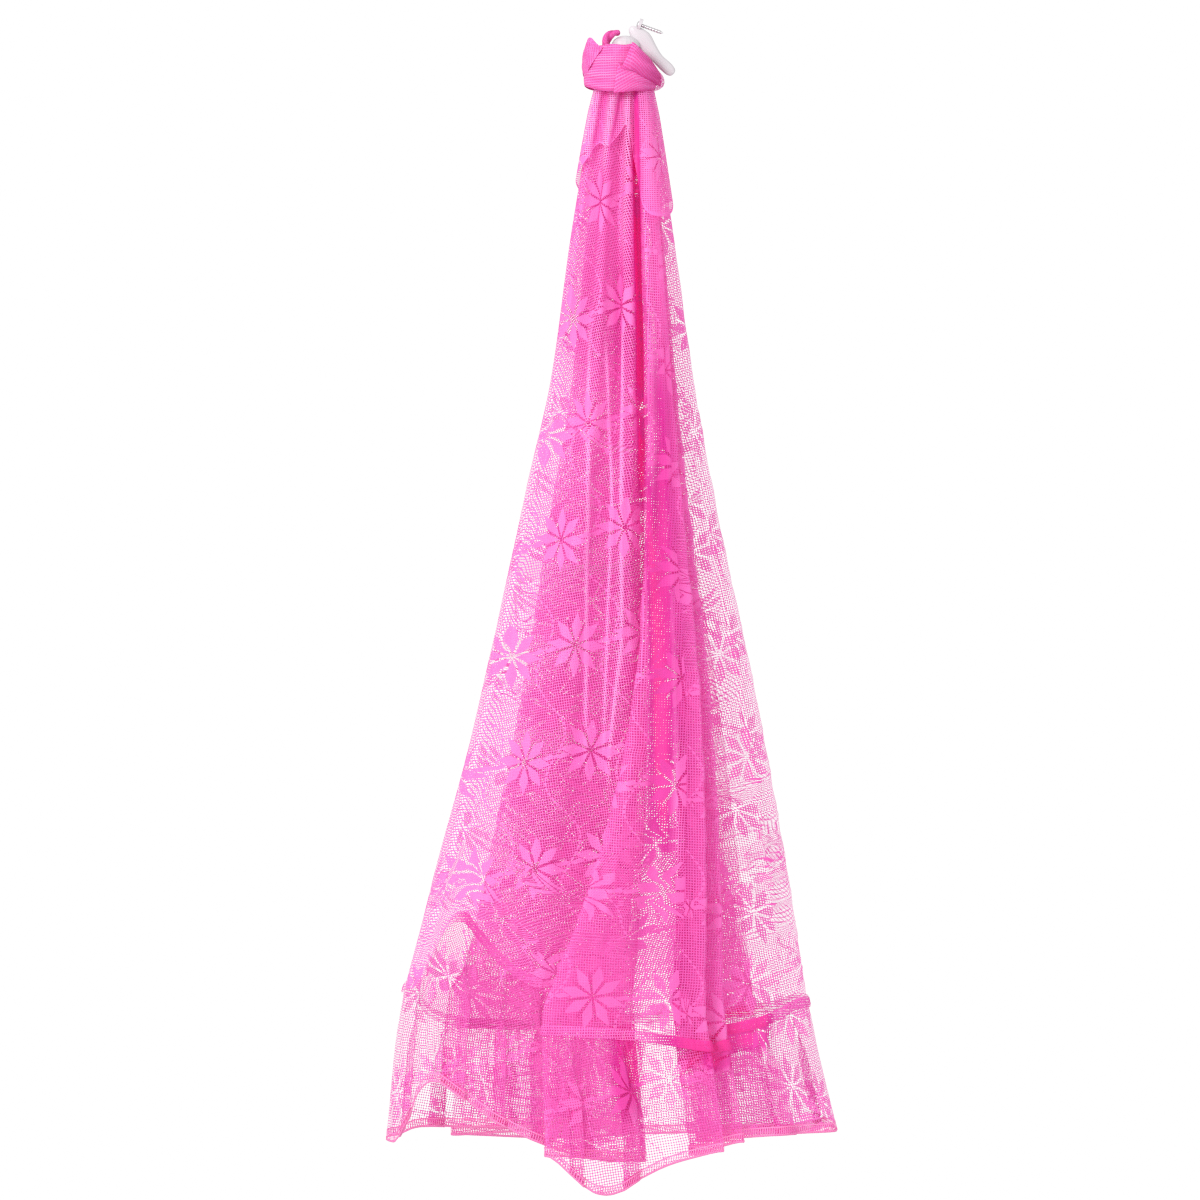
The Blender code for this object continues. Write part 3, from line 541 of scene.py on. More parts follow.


# Grooves of the gathered neck, straight down the front through the cap and the body: from
# (topX, top) to (lowX, low) in mm, with their width and what they do to the cloth: how far out, how dense,
# and its painted shade, which is painted highlight where negative and painted glow above 1.
grooves = rowsOf("topX top lowX low width out dense deep", [
    (-14.7,  60, -27.0, 128, 2.6, -1.8, 0.30,  0.60),
    (  3.2,  60, -10.5, 132, 2.4, -1.8, 0.30,  0.60),
    (-10.5, 120, -17.0, 300, 4.0, -1.0, 0.10,  0.30),
    ( 16.4,  60,  18.0, 215, 2.8, -1.2, 0.80,  2.20),
    ( 18.0, 200,  22.0, 480, 3.0, -0.6, 0.70,  2.00),
    (-22.0,  62, -38.0, 140, 4.6,  1.2, 0.00, -0.60),
    ( -5.0,  62, -19.0, 150, 4.2,  1.4, 0.00, -0.80),
    (  9.0,  62,   1.0, 240, 4.4,  1.4, 0.00, -1.00),
    ( 26.0,  66,  34.0, 190, 6.0,  0.8, 0.10, -0.25),
    (-32.0, 330, -36.0, 760, 2.0,  1.2, 0.55, -1.10),
    (-15.0, 330,  -8.0, 500, 1.7,  1.0, 0.50, -1.00),
    ( -8.0, 470, -17.0, 740, 1.7,  1.0, 0.50, -1.00),
    (  3.0, 310,   2.0, 650, 1.9,  1.5, 0.65, -1.20),
    (  2.0, 640, -13.0, 780, 1.9,  1.5, 0.60, -1.10),
    ( 27.0, 330,  32.0, 860, 5.0,  0.0, 0.40,  0.30),
    (  7.5, 310,   7.0, 650, 2.6, -1.0, 0.10,  0.35),
    ( 29.0, 480,  47.0, 860, 6.5,  0.0, 0.36,  1.30),
    ( 52.0, 560,  62.0, 900, 3.0,  1.0, 0.15, -0.40),
])


def grooved(grid):
    # how far out, how dense and how much painted shade the grooves give each point of a ring's front
    done = np.zeros((3, *grid.shape[:2]))
    x, y, drop = grid[..., 0], grid[..., 1], grid[..., 2]
    facing = np.array([outward(ring)[:, 1] < -0.15 for ring in grid]) & (y < 0)
    for groove in grooves:
        share = (drop - groove.top) / (groove.low - groove.top)
        away = x - (groove.topX + (groove.lowX - groove.topX) * share)
        strength = np.exp(-(away / groove.width) ** 2) * fade(share, -0.1, 1.1, 0.25) * facing
        done += np.multiply.outer((groove.out, groove.dense, groove.deep), strength)
    return done


def outline(drop):
    return tableAt(drop, sections, "drop", "left right depth")


def guarded(corners, heights, least):
    # a point on the cloth beside each corner of a hairpin keeps its turn tight
    points = []
    for i, (corner, height) in enumerate(zip(corners, heights)):
        if not height:
            points.append(corner)
            continue
        beside = corners[i - 1] if height < 0 else corners[(i + 1) % len(corners)]
        way = beside - corner
        share = max(min(0.45, abs(height) / np.hypot(*way)), least)
        pair = [corner + way * share, corner]
        points += pair if height < 0 else pair[::-1]
    return np.array(points)


def foldPolygon(drop):
    left, right, depth = outline(drop)
    down = np.clip((drop - dropOf["neck"]) / (dropOf["tape"] - dropOf["neck"]), 0.0, 1.0)
    corners, heights = [], []
    for fold in folds:
        across = fold.neck + (fold.tape - fold.neck) * down ** fold.sweep
        x = (left + right) / 2 + across * (right - left) / 2
        y = (fold.neckDepth + (fold.tapeDepth - fold.neckDepth) * down) * depth
        if not fold.turn:
            corners.append((x, y))
            heights.append(0.0)
            continue
        height = max(net["least"], abs(fold.turn) * depth / sections[-2].depth)
        half = math.copysign(height / 2, fold.turn)
        corners += [(x, y - half), (x, y + half)]
        heights += [-height, height]
    return guarded(np.array(corners), heights, 0.45 * (1 - 2 * down))


def rounded(corners, samples):
    # a closed soft curve inside the corners, with so many points at each
    corners = np.asarray(corners, float)
    before = (corners + np.roll(corners, 1, axis=0)) / 2
    after = (corners + np.roll(corners, -1, axis=0)) / 2
    points = []
    for corner, start, end, count in zip(corners, before, after, samples):
        w = ((np.arange(count) + 0.5) / count)[:, None]
        points.append((1 - w) ** 2 * start + 2 * w * (1 - w) * corner + w * w * end)
    return np.concatenate(points)


cornerCount = [4 if fold.turn else 1 for fold in folds]
foldSamples = [net["turnSamples"] if fold.turn else net["foldSamples"] for fold in folds]
cornerSamples = np.repeat(foldSamples, cornerCount)
firstColumn = np.concatenate([[0], np.cumsum(np.multiply(foldSamples, cornerCount))])
# the folds' outline at every 10 mm of drop
ringStep = 10.0
ringDrops = np.arange(40.0, 1240.0, ringStep)
rings = np.array([rounded(foldPolygon(drop), cornerSamples) for drop in ringDrops])


def foldDrops(column):
    values = np.repeat(valuesOf(folds, column), cornerCount)
    return rounded(values[:, None], cornerSamples)[:, 0]


def netColumns(drops):
    # the net's points, one on each column at its own drop
    place = (drops - ringDrops[0]) / ringStep
    index = place.astype(int)
    share = (place - index)[:, None]
    column = np.arange(len(drops))
    flat = rings[index, column] * (1 - share) + rings[index + 1, column] * share
    return np.column_stack([flat, drops])


def outward(ring):
    # the level way out of the cloth at each point of a closed ring
    along = (np.roll(ring, -1, axis=0) - ring)[:, :2]
    along /= np.maximum(np.hypot(along[:, 0], along[:, 1]), 1e-6)[:, None]
    normal = np.column_stack([along[:, 1], -along[:, 0], np.zeros(len(ring))])
    before = np.roll(normal, 1, axis=0)
    return (normal + before) / np.maximum(1 + (normal * before).sum(axis=1), 0.8)[:, None]


def pushOut(grid, distance):
    # moves each point of the rings so many mm out of the cloth
    grid[..., :2] += np.array([outward(ring)[:, :2] for ring in grid]) * distance[..., None]


def closedUp(values):
    # a closed ring's values with the first column again at the end
    return np.concatenate([values, values[:, :1]], axis=1)


def inMetres(grid):
    placed = np.array(grid, float)
    placed[..., 0] += netAxisX
    placed[..., 2] = shoulderZ - placed[..., 2]
    return placed * mm


def flowerOffsets(uv):
    # each point's place from the middle of its nearest flower, or far off where no petal reaches
    spaceU, spaceV = knit["flowerSpacing"]
    du = uv[..., 0] - np.round(uv[..., 0] / spaceU) * spaceU
    dv = uv[..., 1] - np.round(uv[..., 1] / spaceV) * spaceV
    offset = np.stack([du, dv], axis=-1)
    r = np.hypot(du, dv)[..., None]
    return np.where(r > knit["flowerRadius"] + 3, offset / np.maximum(r, 1e-6) * 9000.0, offset)


def makeCloth(name, grid, cloth, material, slot, *nodes, closed=True, **tones):
    # A sheet through grid[row, column] in mm. cloth gives the cloth's own mm at each point, or
    # at the two sides of each column of faces, so that a pattern can break at a hidden turn.
    uvLeft, uvRight = cloth if isinstance(cloth, tuple) else (cloth[:, :-1], cloth[:, 1:])
    rows, columns = grid.shape[:2]
    faceColumns = columns if closed else columns - 1
    i, j = np.meshgrid(np.arange(rows - 1), np.arange(faceColumns), indexing="ij")
    after = (j + 1) % columns
    row, nextRow = i * columns, (i + 1) * columns
    faces = np.stack([row + j, nextRow + j, nextRow + after, row + after], axis=-1)
    mesh = bpy.data.meshes.new(name)
    mesh.from_pydata(inMetres(grid).reshape(-1, 3).tolist(), [], faces.reshape(-1, 4).tolist())
    corners = np.stack([uvLeft[:-1], uvLeft[1:], uvRight[1:], uvRight[:-1]], axis=2)
    for layer, values in (("cloth", corners), ("flower", flowerOffsets(corners))):
        uvLayer = mesh.uv_layers.new(name=layer)
        uvLayer.data.foreach_set("uv", (values * mm).astype(np.float32).ravel())
    # thread density in mm, and the painted shade that the knit's colour takes, which is painted highlight
    # where negative
    for tone in ("dense", "deep"):
        values = np.broadcast_to(tones.get(tone, 0.0), (rows, columns))
        attribute = mesh.attributes.new(tone, "FLOAT", "POINT")
        attribute.data.foreach_set("value", values.astype(np.float32).ravel())
    mesh.shade_smooth()
    mesh.materials.append(material)
    piece = addObject(name, mesh)
    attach(piece, "root")
    if nodes:
        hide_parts(*nodes)
    return piece


def columnsOf(panel):
    return firstColumn[foldNames.index(panel.first)], firstColumn[foldNames.index(panel.last) + 1]


def lengthsAlong(grid):
    # the way round each closed ring, from its first point
    steps = np.linalg.norm(np.diff(closedUp(grid), axis=1)[..., :2], axis=-1)
    return np.concatenate([np.zeros((len(grid), 1)), np.cumsum(steps, axis=1)], axis=1)


def panelCloth(grid):
    # the cloth's own mm for each column of faces, panel by panel
    along = lengthsAlong(grid)
    x, drop = closedUp(grid[..., 0]), closedUp(grid[..., 2])
    uvLeft = np.zeros((*grid.shape[:2], 2))
    uvRight = np.zeros_like(uvLeft)
    for panel in panels:
        start, end = columnsOf(panel)
        lean = math.radians(panel.lean)
        side = slice(start, end + 1)
        for row in range(len(grid)):
            xs, ss = x[row, side], along[row, side]
            order = np.argsort(xs)
            target = panel.x + math.tan(lean) * (drop[row, side].mean() - panel.drop)
            origin = np.interp(target, xs[order], ss[order])
            origin += (target - np.clip(target, xs.min(), xs.max())) * np.sign(ss[order[-1]] - ss[order[0]])
            a = (ss - origin) * np.interp(drop[row, start], net["gathered"], (net["gathering"], 1.0))
            d = drop[row, side] - panel.drop
            uv = np.stack([a * math.cos(lean), d / math.cos(lean) + a * math.sin(lean)], axis=-1)
            uvLeft[row, start:end] = uv[:-1]
            uvRight[row, start:end] = uv[1:]
    return uvLeft, uvRight


def ringCloth(grid, front):
    # the cloth's own mm round a closed ring, counted both ways from its front
    along = lengthsAlong(grid)
    total = along[:, -1:]
    u = along - along[:, front:front + 1]
    drop = closedUp(grid[..., 2])
    breaks = (front + grid.shape[1] // 2) % grid.shape[1]
    left, right = u[:, :-1].copy(), u[:, 1:].copy()
    if breaks > front:
        left[:, breaks:] -= total
        right[:, breaks:] -= total
    else:
        left[:, :breaks] += total
        right[:, :breaks] += total
    return np.stack([left, drop[:, :-1]], axis=-1), np.stack([right, drop[:, 1:]], axis=-1)


def leaning(u, v, degrees):
    # the cloth's own mm turned, so that its grain leans
    cosine, sine = math.cos(math.radians(degrees)), math.sin(math.radians(degrees))
    return np.stack([u * cosine - v * sine, u * sine + v * cosine], axis=-1)


def hollows(grid, reach):
    # how many mm each point lies behind the cloth within reach of it: a hollow is positive
    along = lengthsAlong(grid)
    found = np.zeros(grid.shape[:2])
    for row, (ring, length) in enumerate(zip(grid, along)):
        s = np.concatenate([length[:-1] - length[-1], length[:-1], length[:-1] + length[-1]])
        out = outward(ring)
        for axis in (0, 1):
            values = np.tile(ring[:, axis], 3)
            sums = np.concatenate([[0.0], np.cumsum((values[1:] + values[:-1]) / 2 * np.diff(s))])
            after, before = np.interp(length[:-1] + reach, s, sums), np.interp(length[:-1] - reach, s, sums)
            found[row] += ((after - before) / (2 * reach) - ring[:, axis]) * out[:, axis]
    return found


# where the panels behind lie in more layers, by drop
veil = rowsOf("drop left right", [
    (60,    -40,  40),
    (200,   -52,  44),
    (400,   -70,  50),
    (600,  -100,  62),
    (800,  -112,  76),
    (1020, -122,  92),
    (1240, -130, 100),
])
# and where a loose layer behind ends in a slanting edge, low on the right
looseLayer = rowsOf("drop left right", [(760, 60, 84), (830, 56, 102), (904, 52, 118), (1022, 48, 146)])
netTop = dropOf["top"]
tapeDrops = foldDrops("tapeDrop")
hemDrops = foldDrops("hemDrop")
netGrid = np.array([netColumns(netTop + (tapeDrops - netTop) * level)
                    for level in np.linspace(0, 1, net["rows"])])
netCloth = panelCloth(netGrid)
netAlong = lengthsAlong(netGrid)
netX, netDrop, netBehind = netGrid[..., 0].copy(), netGrid[..., 2], netGrid[..., 1] > 0
# fine ripples that wander and long swells across them, which die out in the gathered neck
rippleAlong, rippleDown = net["rippleScale"]
swellAlong, swellDown = net["swellScale"]
ripples = np.sin(netAlong[:, :-1] / rippleAlong + 2 * np.sin(netDrop / rippleDown))
swells = np.sin(netDrop / swellDown + netAlong[:, :-1] / swellAlong)
netOut = net["ripple"] * (ripples + swells) * np.interp(netDrop, *net["rippling"])
netDense = np.interp(netDrop, net["neckFades"], (net["neckDense"], 0.0))
# painted shade on each point of the body: the panels', the creases' and the grooves'
netPaintedShade = np.zeros(netDrop.shape)
for panel in panels:
    side = slice(*columnsOf(panel))
    netDense[:, side] += panel.dense
    netPaintedShade[:, side] += panel.deep
for crease in creases:
    start, end = firstColumn[foldNames.index(crease.fold):][:2]
    column = start + crease.share * (end - start) + 0.5 * net["foldSamples"]
    middle = np.array([np.interp(column, np.arange(len(line)), line) for line in netAlong])
    away = np.abs(netAlong[:, :-1] - middle[:, None])
    away = np.minimum(away, netAlong[:, -1:] - away)
    strength = np.exp(-(away / crease.width) ** 2)
    strength *= fade(netDrop, crease.top, crease.bottom, net["creaseFade"])
    netOut += crease.out * strength
    netDense += crease.dense * strength
    netPaintedShade += crease.deep * strength
grooveOut, grooveDense, groovePaintedShade = grooved(netGrid)
netOut += grooveOut
netDense += grooveDense
# painted shade in the hollows, less of it in the neck, and less again behind towards the tape
netHollows = np.clip(hollows(netGrid, net["hollowReach"]), -4, 6)
netPaintedShade = np.clip(netPaintedShade + net["hollowShade"] * netHollows, 0.0, 1.4)
netPaintedShade = np.clip(netPaintedShade * np.interp(netDrop, *net["neckShade"]) + groovePaintedShade, -0.6, 2.0)
netPaintedShade = np.where(netBehind, netPaintedShade * np.interp(netDrop, *net["behindShade"]), netPaintedShade)
veilLeft, veilRight = tableAt(netDrop, veil, "drop", "left right")
netDense += net["veilDense"] * fade(netX, veilLeft, veilRight, net["veilSoft"]) * netBehind
layerLeft, layerRight = tableAt(netDrop, looseLayer, "drop", "left right", np.interp)
netDense += net["looseDense"] * fade(netX, layerLeft, layerRight, net["looseSoft"]) * netBehind \
    * np.clip((netDrop - looseLayer[0].drop) / 80.0, 0.0, 1.0)
openLeft, openRight, openTop, openBottom = net["openPatch"]
opened = fade(netX, openLeft, openRight, 8.0) * fade(netDrop, openTop, openBottom, 25.0)
netDense += net["openDense"] * opened
pushOut(netGrid, netOut)
netBody = makeCloth("netBody", netGrid, netCloth, netMaterial, "net", "net_body",
                    dense=netDense, deep=netPaintedShade)
print("net body made")

# the cap: a second layer of net round the neck, its raw edge zigzagging over the folds
cap = dict(
    top=61.0,
    topOutside=1.8,           # mm outside the body at its top
    outside=3.0,              # and from a quarter of the way down
    samples=14,
    rows=60,
    dense=0.24,               # mm more thread on each side
    edgeDense=0.5,            # and more again on its raw edge, which curls back on itself
    deep=-0.2,                # painted highlight: paler than the body
    hollowReach=12.0,
    hollowShade=0.05,          # painted shade for each mm of a hollow
    rightDense=0.15,          # where its right side lies in more layers, from this x on
    rightDenseX=26.0,
    # painted shade on its right side, from this x on
    rightShade=0.3,
    rightShadeX=20.0,
    knitScale=(1.45, 1.25),   # its gathers draw the wales together more than the courses
    shift=(-68.0, 53.0),
)
capFolds = rowsOf("name across depth hemDrop", [
    ("leftFront",  -1.02, -0.36, 151),
    ("leftBulge",  -0.86, -0.74, 140),
    ("leftGroove", -0.62, -0.62, 118),
    ("leftCrest",  -0.36, -1.02, 128),
    ("midGroove",  -0.08, -0.70, 110),
    ("midCrest",    0.14, -1.06,  97),
    ("valley",      0.28, -0.80, 150),
    ("pleatCrest",  0.40, -1.22, 196),
    ("pleatRight",  0.74, -1.14, 200),
    ("frontRight",  0.96, -0.70, 196),
    ("rightFront",  1.03, -0.24, 184),
    ("rightBack",   1.02,  0.60, 178),
    ("backRight",   0.74,  1.00, 185),
    ("backMid",     0.10,  1.16, 190),
    ("backLeft",   -0.74,  1.00, 175),
    ("leftBack",   -1.04,  0.44, 162),
])
capSamples = [cap["samples"]] * len(capFolds)
capHem = rounded([[fold.hemDrop] for fold in capFolds], capSamples)[:, 0]
capShape = rounded([(fold.across, fold.depth) for fold in capFolds], capSamples)
capGrid = []
for level in np.linspace(0.0, 1.0, cap["rows"]):
    drops = cap["top"] + (capHem - cap["top"]) * level
    left, right, depth = outline(drops)
    out = cap["topOutside"] + (cap["outside"] - cap["topOutside"]) * min(1.0, level / 0.25)
    capGrid.append(np.column_stack([(left + right) / 2 + capShape[:, 0] * ((right - left) / 2 + out),
                                    capShape[:, 1] * (depth + out), drops]))
capGrid = np.array(capGrid)
capCloth = tuple(uv * cap["knitScale"] + cap["shift"] for uv in ringCloth(capGrid, 5 * cap["samples"]))
capOut, capDense, capPaintedShade = grooved(capGrid)
capPaintedShade += cap["hollowShade"] * hollows(capGrid, cap["hollowReach"]) + cap["deep"]
capPaintedShade = np.clip(capPaintedShade + cap["rightShade"] * (capGrid[..., 0] > cap["rightShadeX"]), -0.8, 2.0)
capDense += cap["dense"] + cap["rightDense"] * (capGrid[..., 0] > cap["rightDenseX"])
capDense[-2:] += cap["edgeDense"]
pushOut(capGrid, capOut)
capLayer = makeCloth("capLayer", capGrid, capCloth, netMaterial, "net", "cap_layer",
                     dense=capDense, deep=capPaintedShade)
print("cap made")

# the tape: a narrow gathered strip over the seam, folded lengthwise
tape = dict(
    height=11.0,
    rows=9,
    columns=1100,
    upperOut=1.9,             # mm outside the net along its upper edge
    lowerOut=2.5,             # and along its lower one
    inset=0.4,                # mm that it is drawn back in by its seam
    bulge=1.1,                # mm that its middle stands out
    groove=0.45,              # share of the bulge that the line of stitches takes away
    grooveAt=0.55,            # how far down that line runs
    grooveWidth=0.1,
    gather=0.45,              # mm, height of its gathers
    gatherLength=6.5,         # mm from one gather to the next
    backDense=-0.25,
    # painted shade on its back
    backShade=0.12,
)
# along its front it lies in more layers here and there, with painted shade, and a painted glow over the
# turned seam
tapeTones = rowsOf("x dense deep", [
    (-205, -0.50, 0.1),
    (-178, -0.40, 0.1),
    (-158,  0.20, 0.8),
    ( -50, -0.15, 0.1),
    (  20, -0.15, 0.1),
    (  70,  0.50, 1.7),
    ( 150,  0.50, 1.7),
    ( 162,  0.10, 0.5),
])


def evenRing(ring, count):
    # the same closed ring with so many points, evenly along it
    closedRing = np.concatenate([ring, ring[:1]])
    length = np.concatenate([[0], np.cumsum(np.linalg.norm(np.diff(closedRing, axis=0)[:, :2], axis=1))])
    at = np.linspace(0, length[-1], count, endpoint=False)
    return np.column_stack([np.interp(at, length, closedRing[:, k]) for k in range(closedRing.shape[1])]), at


seam = netGrid[-1]
above = seam + (netGrid[-8] - seam) * (tape["height"] / 2 / (seam - netGrid[-8])[:, 2:])
below = netColumns(seam[:, 2] + tape["height"] / 2)
upperEdge = above + tape["upperOut"] * outward(above)
lowerEdge = below + tape["lowerOut"] * outward(below)
upperRing, tapeAt = evenRing(np.column_stack([upperEdge, lowerEdge]), tape["columns"])
upperEdge, lowerEdge = upperRing[:, :3], upperRing[:, 3:]
tapeOut = outward(lowerEdge)
gathers = tape["gather"] * np.sin(2 * math.pi * tapeAt / tape["gatherLength"] + 1.3 * np.sin(tapeAt / 31.0))
tapeGrid = []
for level in np.linspace(0.0, 1.0, tape["rows"]):
    stitched = 1 - tape["groove"] * math.exp(-((level - tape["grooveAt"]) / tape["grooveWidth"]) ** 2)
    out = math.sin(math.pi * level) * (tape["bulge"] * stitched + gathers) - tape["inset"]
    tapeGrid.append(upperEdge * (1 - level) + lowerEdge * level + tapeOut * out[:, None])
tapeGrid = np.array(tapeGrid)
tapeBehind = tapeGrid[..., 1] > 0
tapeDense, tapePaintedShade = tableAt(tapeGrid[..., 0], tapeTones, "x", "dense deep", np.interp)
tapeDense = np.where(tapeBehind, tape["backDense"], tapeDense)
tapePaintedShade = tapePaintedShade + tape["backShade"] * tapeBehind
joinTape = makeCloth("joinTape", tapeGrid, ringCloth(tapeGrid, tape["columns"] // 4), tapeMaterial,
                     "tape", "join_tape", dense=tapeDense, deep=tapePaintedShade)
print("tape made")

# the flounce: hangs from the seam in knife pleats, overlocked along its lower edge
flounce = dict(
    seamGap=2.8,              # mm below the tape's upper seam that it begins
    rows=26,
    upperRows=14,             # of them down to the level where the pleats lie flat
    lappedAt=0.42,            # that level, as a share of the way down
    lift=3.2,                 # mm that a pleat's layers stand apart
    ripple=1.1,               # mm, height of the gathers under the seam
    rippleLength=13.0,
    flare=2.2,                # mm that the edge waves in and out
    waveScale=(14.0, 8.3),    # mm for each radian, of its long waves and its short ones
    hem=9.0,                  # mm, height of its overlocked edge
    lean=9.0,                 # degrees that its grain leans
    dense=-0.08,              # mm more thread on each side
    leftDense=-0.07,          # and left of this x
    leftX=-120.0,
    middleDense=0.06,         # and so many mm each way of this x
    middle=(-30.0, 70.0),
    openDense=-0.11,          # and between these x, where it is drawn open
    openPatch=(20.0, 62.0),
    # painted shade all over, more on its back and in its hollows
    deep=0.45,
    backShade=0.1,
    hollowReach=14.0,
    hollowShade=0.06,
)
# patches on its front, both with painted shade: the seam's turning hangs behind it on the right, and in the
# middle a pleat's inner fold shows through its outer one
flouncePatches = rowsOf("left right soft low fade dense deep", [
    ( 84.0, 158.0, 8.0, 0.24, 0.1, 0.70, 1.2),
    (-10.0,  25.0, 6.0, 0.60, 0.2, 0.25, 0.9),
])
pleats = rowsOf("fold share lap", [
    ("leftEdge",   0.55, 15),
    ("leftBulge",  0.50, 19),
    ("leftGroove", 0.55, 12),
    ("leftCrest",  0.45, 17),
    ("midGroove",  0.50, 12),
    ("pleatLeft",  0.55, 13),
    ("pleatCrest", 0.50, 15),
    ("rightCrest", 0.45, 18),
    ("rightEdge",  0.55, 15),
    ("rightOver",  0.45, 17),
    ("backLink",   0.45, 14),
    ("backRidge",  0.50, 18),
    ("between",    0.35, 13),
    ("innerMid",   0.45, 17),
    ("innerLeft",  0.60, 15),
])
# across one pleat: laps and mm from its middle, and how far out, standing and lying
pleatShape = rowsOf("laps past standing lying", [
    (-0.5, -9.0,  0.0,  0.0),
    (-0.5,  0.0,  0.5,  1.0),
    ( 0.5, -0.5,  1.0,  1.0),
    ( 0.5,  0.5,  1.0,  0.5),
    ( 0.5, -0.5,  0.5,  0.0),
    (-0.5,  0.5, -0.5,  0.0),
    (-0.5, -0.5, -1.0, -0.5),
    (-0.5,  0.5, -1.0, -1.0),
    ( 0.5,  0.0, -0.5, -1.0),
    ( 0.5,  9.0,  0.0,  0.0),
])
flounceRows = rowsOf("level lifted lapped", [
    (0.0, 0.0, 0.0), (0.14, 1.0, 0.22), (0.26, 1.0, 0.4), (0.42, 1.0, 1.0), (1.0, 1.0, 1.0),
])


def flounceColumns(length):
    # of each column: its place on the seam, its place once lapped, and its lift
    free = np.ones(len(length) - 1, bool)
    columns = []
    for pleat in pleats:
        here = foldNames.index(pleat.fold)
        start, after = [length[(firstColumn[n] + firstColumn[n + 1]) // 2] for n in (here, here + 1)]
        middle = start + (after - start) * pleat.share
        lapped = [middle + point.laps * pleat.lap + point.past for point in pleatShape]
        flat = np.linspace(lapped[0], lapped[-1], len(lapped))
        columns += [(place, end, point.standing, point.lying)
                    for place, end, point in zip(flat, lapped, pleatShape)]
        free &= (length[:-1] < lapped[0] - 1) | (length[:-1] > lapped[-1] + 1)
    columns += [(place, place, 0.0, 0.0) for place in length[:-1][free]]
    return np.array(sorted(columns, key=lambda column: column[0])).T


upper = tapeDrops + flounce["seamGap"]
seamLength = lengthsAlong(netColumns(upper)[None])[0]
flat, lapped, standing, lying = flounceColumns(seamLength)
columnCount = len(seamLength) - 1
upperLevels = np.linspace(0.0, flounce["lappedAt"], flounce["upperRows"])
lowerLevels = np.linspace(flounce["lappedAt"], 1.0, flounce["rows"] - flounce["upperRows"] + 1)
flounceLevels = np.concatenate([upperLevels, lowerLevels[1:]])
waves = (np.sin(flat / flounce["waveScale"][0]) + 0.6 * np.sin(flat / flounce["waveScale"][1] + 2.0)) / 1.6
flounceGrid = []
for level in flounceLevels:
    ring = netColumns(upper + (hemDrops - upper) * level)
    out = outward(ring)
    [lifted] = tableAt(level, flounceRows, "level", "lifted")
    [laps] = tableAt(level, flounceRows, "level", "lapped", np.interp)
    place = (flat + (lapped - flat) * laps) % seamLength[-1]
    column = np.interp(place, seamLength, np.arange(columnCount + 1))
    index = column.astype(int) % columnCount
    share = (column - column.astype(int))[:, None]
    point = ring[index] * (1 - share) + ring[(index + 1) % columnCount] * share
    way = out[index] * (1 - share) + out[(index + 1) % columnCount] * share
    lift = flounce["lift"] * lifted * (standing + (lying - standing) * laps)
    gathered = math.sin(math.pi * min(1, 3 * level)) * math.exp(-2.5 * level)
    lift = lift + flounce["ripple"] * gathered * np.sin(2 * math.pi * flat / flounce["rippleLength"])
    lift = lift + flounce["flare"] * level ** 1.5 * waves
    flounceGrid.append(point + lift[:, None] * way)
flounceGrid = np.array(flounceGrid)
hemAt = lengthsAlong(flounceGrid[-1:])[0]
flounceCloth = leaning(np.tile(hemAt, (len(flounceGrid), 1)), closedUp(flounceGrid[..., 2]), flounce["lean"])
flounceX, flounceFront = flounceGrid[..., 0], flounceGrid[..., 1] < 0
flouncePaintedShade = flounce["deep"] + flounce["hollowShade"] * hollows(flounceGrid, flounce["hollowReach"])
flouncePaintedShade = np.clip(flouncePaintedShade + flounce["backShade"] * ~flounceFront, 0.0, 1.0)
middleX, middleReach = flounce["middle"]
flounceDense = flounce["dense"] + flounce["leftDense"] * (flounceX < flounce["leftX"])
flounceDense += flounce["middleDense"] * flounceFront * (np.abs(flounceX - middleX) < middleReach)
flounceDense += flounce["openDense"] * fade(flounceX, *flounce["openPatch"], 8.0)
for patch in flouncePatches:
    strength = fade(flounceX, patch.left, patch.right, patch.soft) * flounceFront
    strength = strength * fade(flounceLevels[:, None], -0.2, patch.low, patch.fade)
    flounceDense += patch.dense * strength
    flouncePaintedShade += patch.deep * strength
flouncePiece = makeCloth("pleatedFlounce", flounceGrid, flounceCloth, netMaterial, "net", "flounce",
                         dense=flounceDense, deep=flouncePaintedShade)

# the overlocked hem, a narrow strip of stitches that wraps the flounce's edge
hemRing = flounceGrid[-1]
hemTop = hemRing + (flounceGrid[-3] - hemRing) * (flounce["hem"] / (hemRing - flounceGrid[-3])[:, 2:])
hemOut = outward(hemRing)
# from its front round the edge to its back: share of its height, mm out, and mm of stitching
hemRows = rowsOf("up out down", [
    ( 1.00,  0.50, 0.0),
    ( 0.50,  0.55, 4.5),
    ( 0.00,  0.50, 9.0),
    (-0.08,  0.00, 9.6),
    ( 0.00, -0.50, 9.0),
    ( 1.00, -0.50, 0.0),
])
hemGrid = np.array([hemRing * (1 - row.up) + hemTop * row.up + row.out * hemOut for row in hemRows])
hemCloth = np.stack(np.meshgrid(hemAt, valuesOf(hemRows, "down")), axis=-1)
makeCloth("hemStitches", hemGrid, hemCloth, stitchMaterial, "net")
print("flounce and hem made")

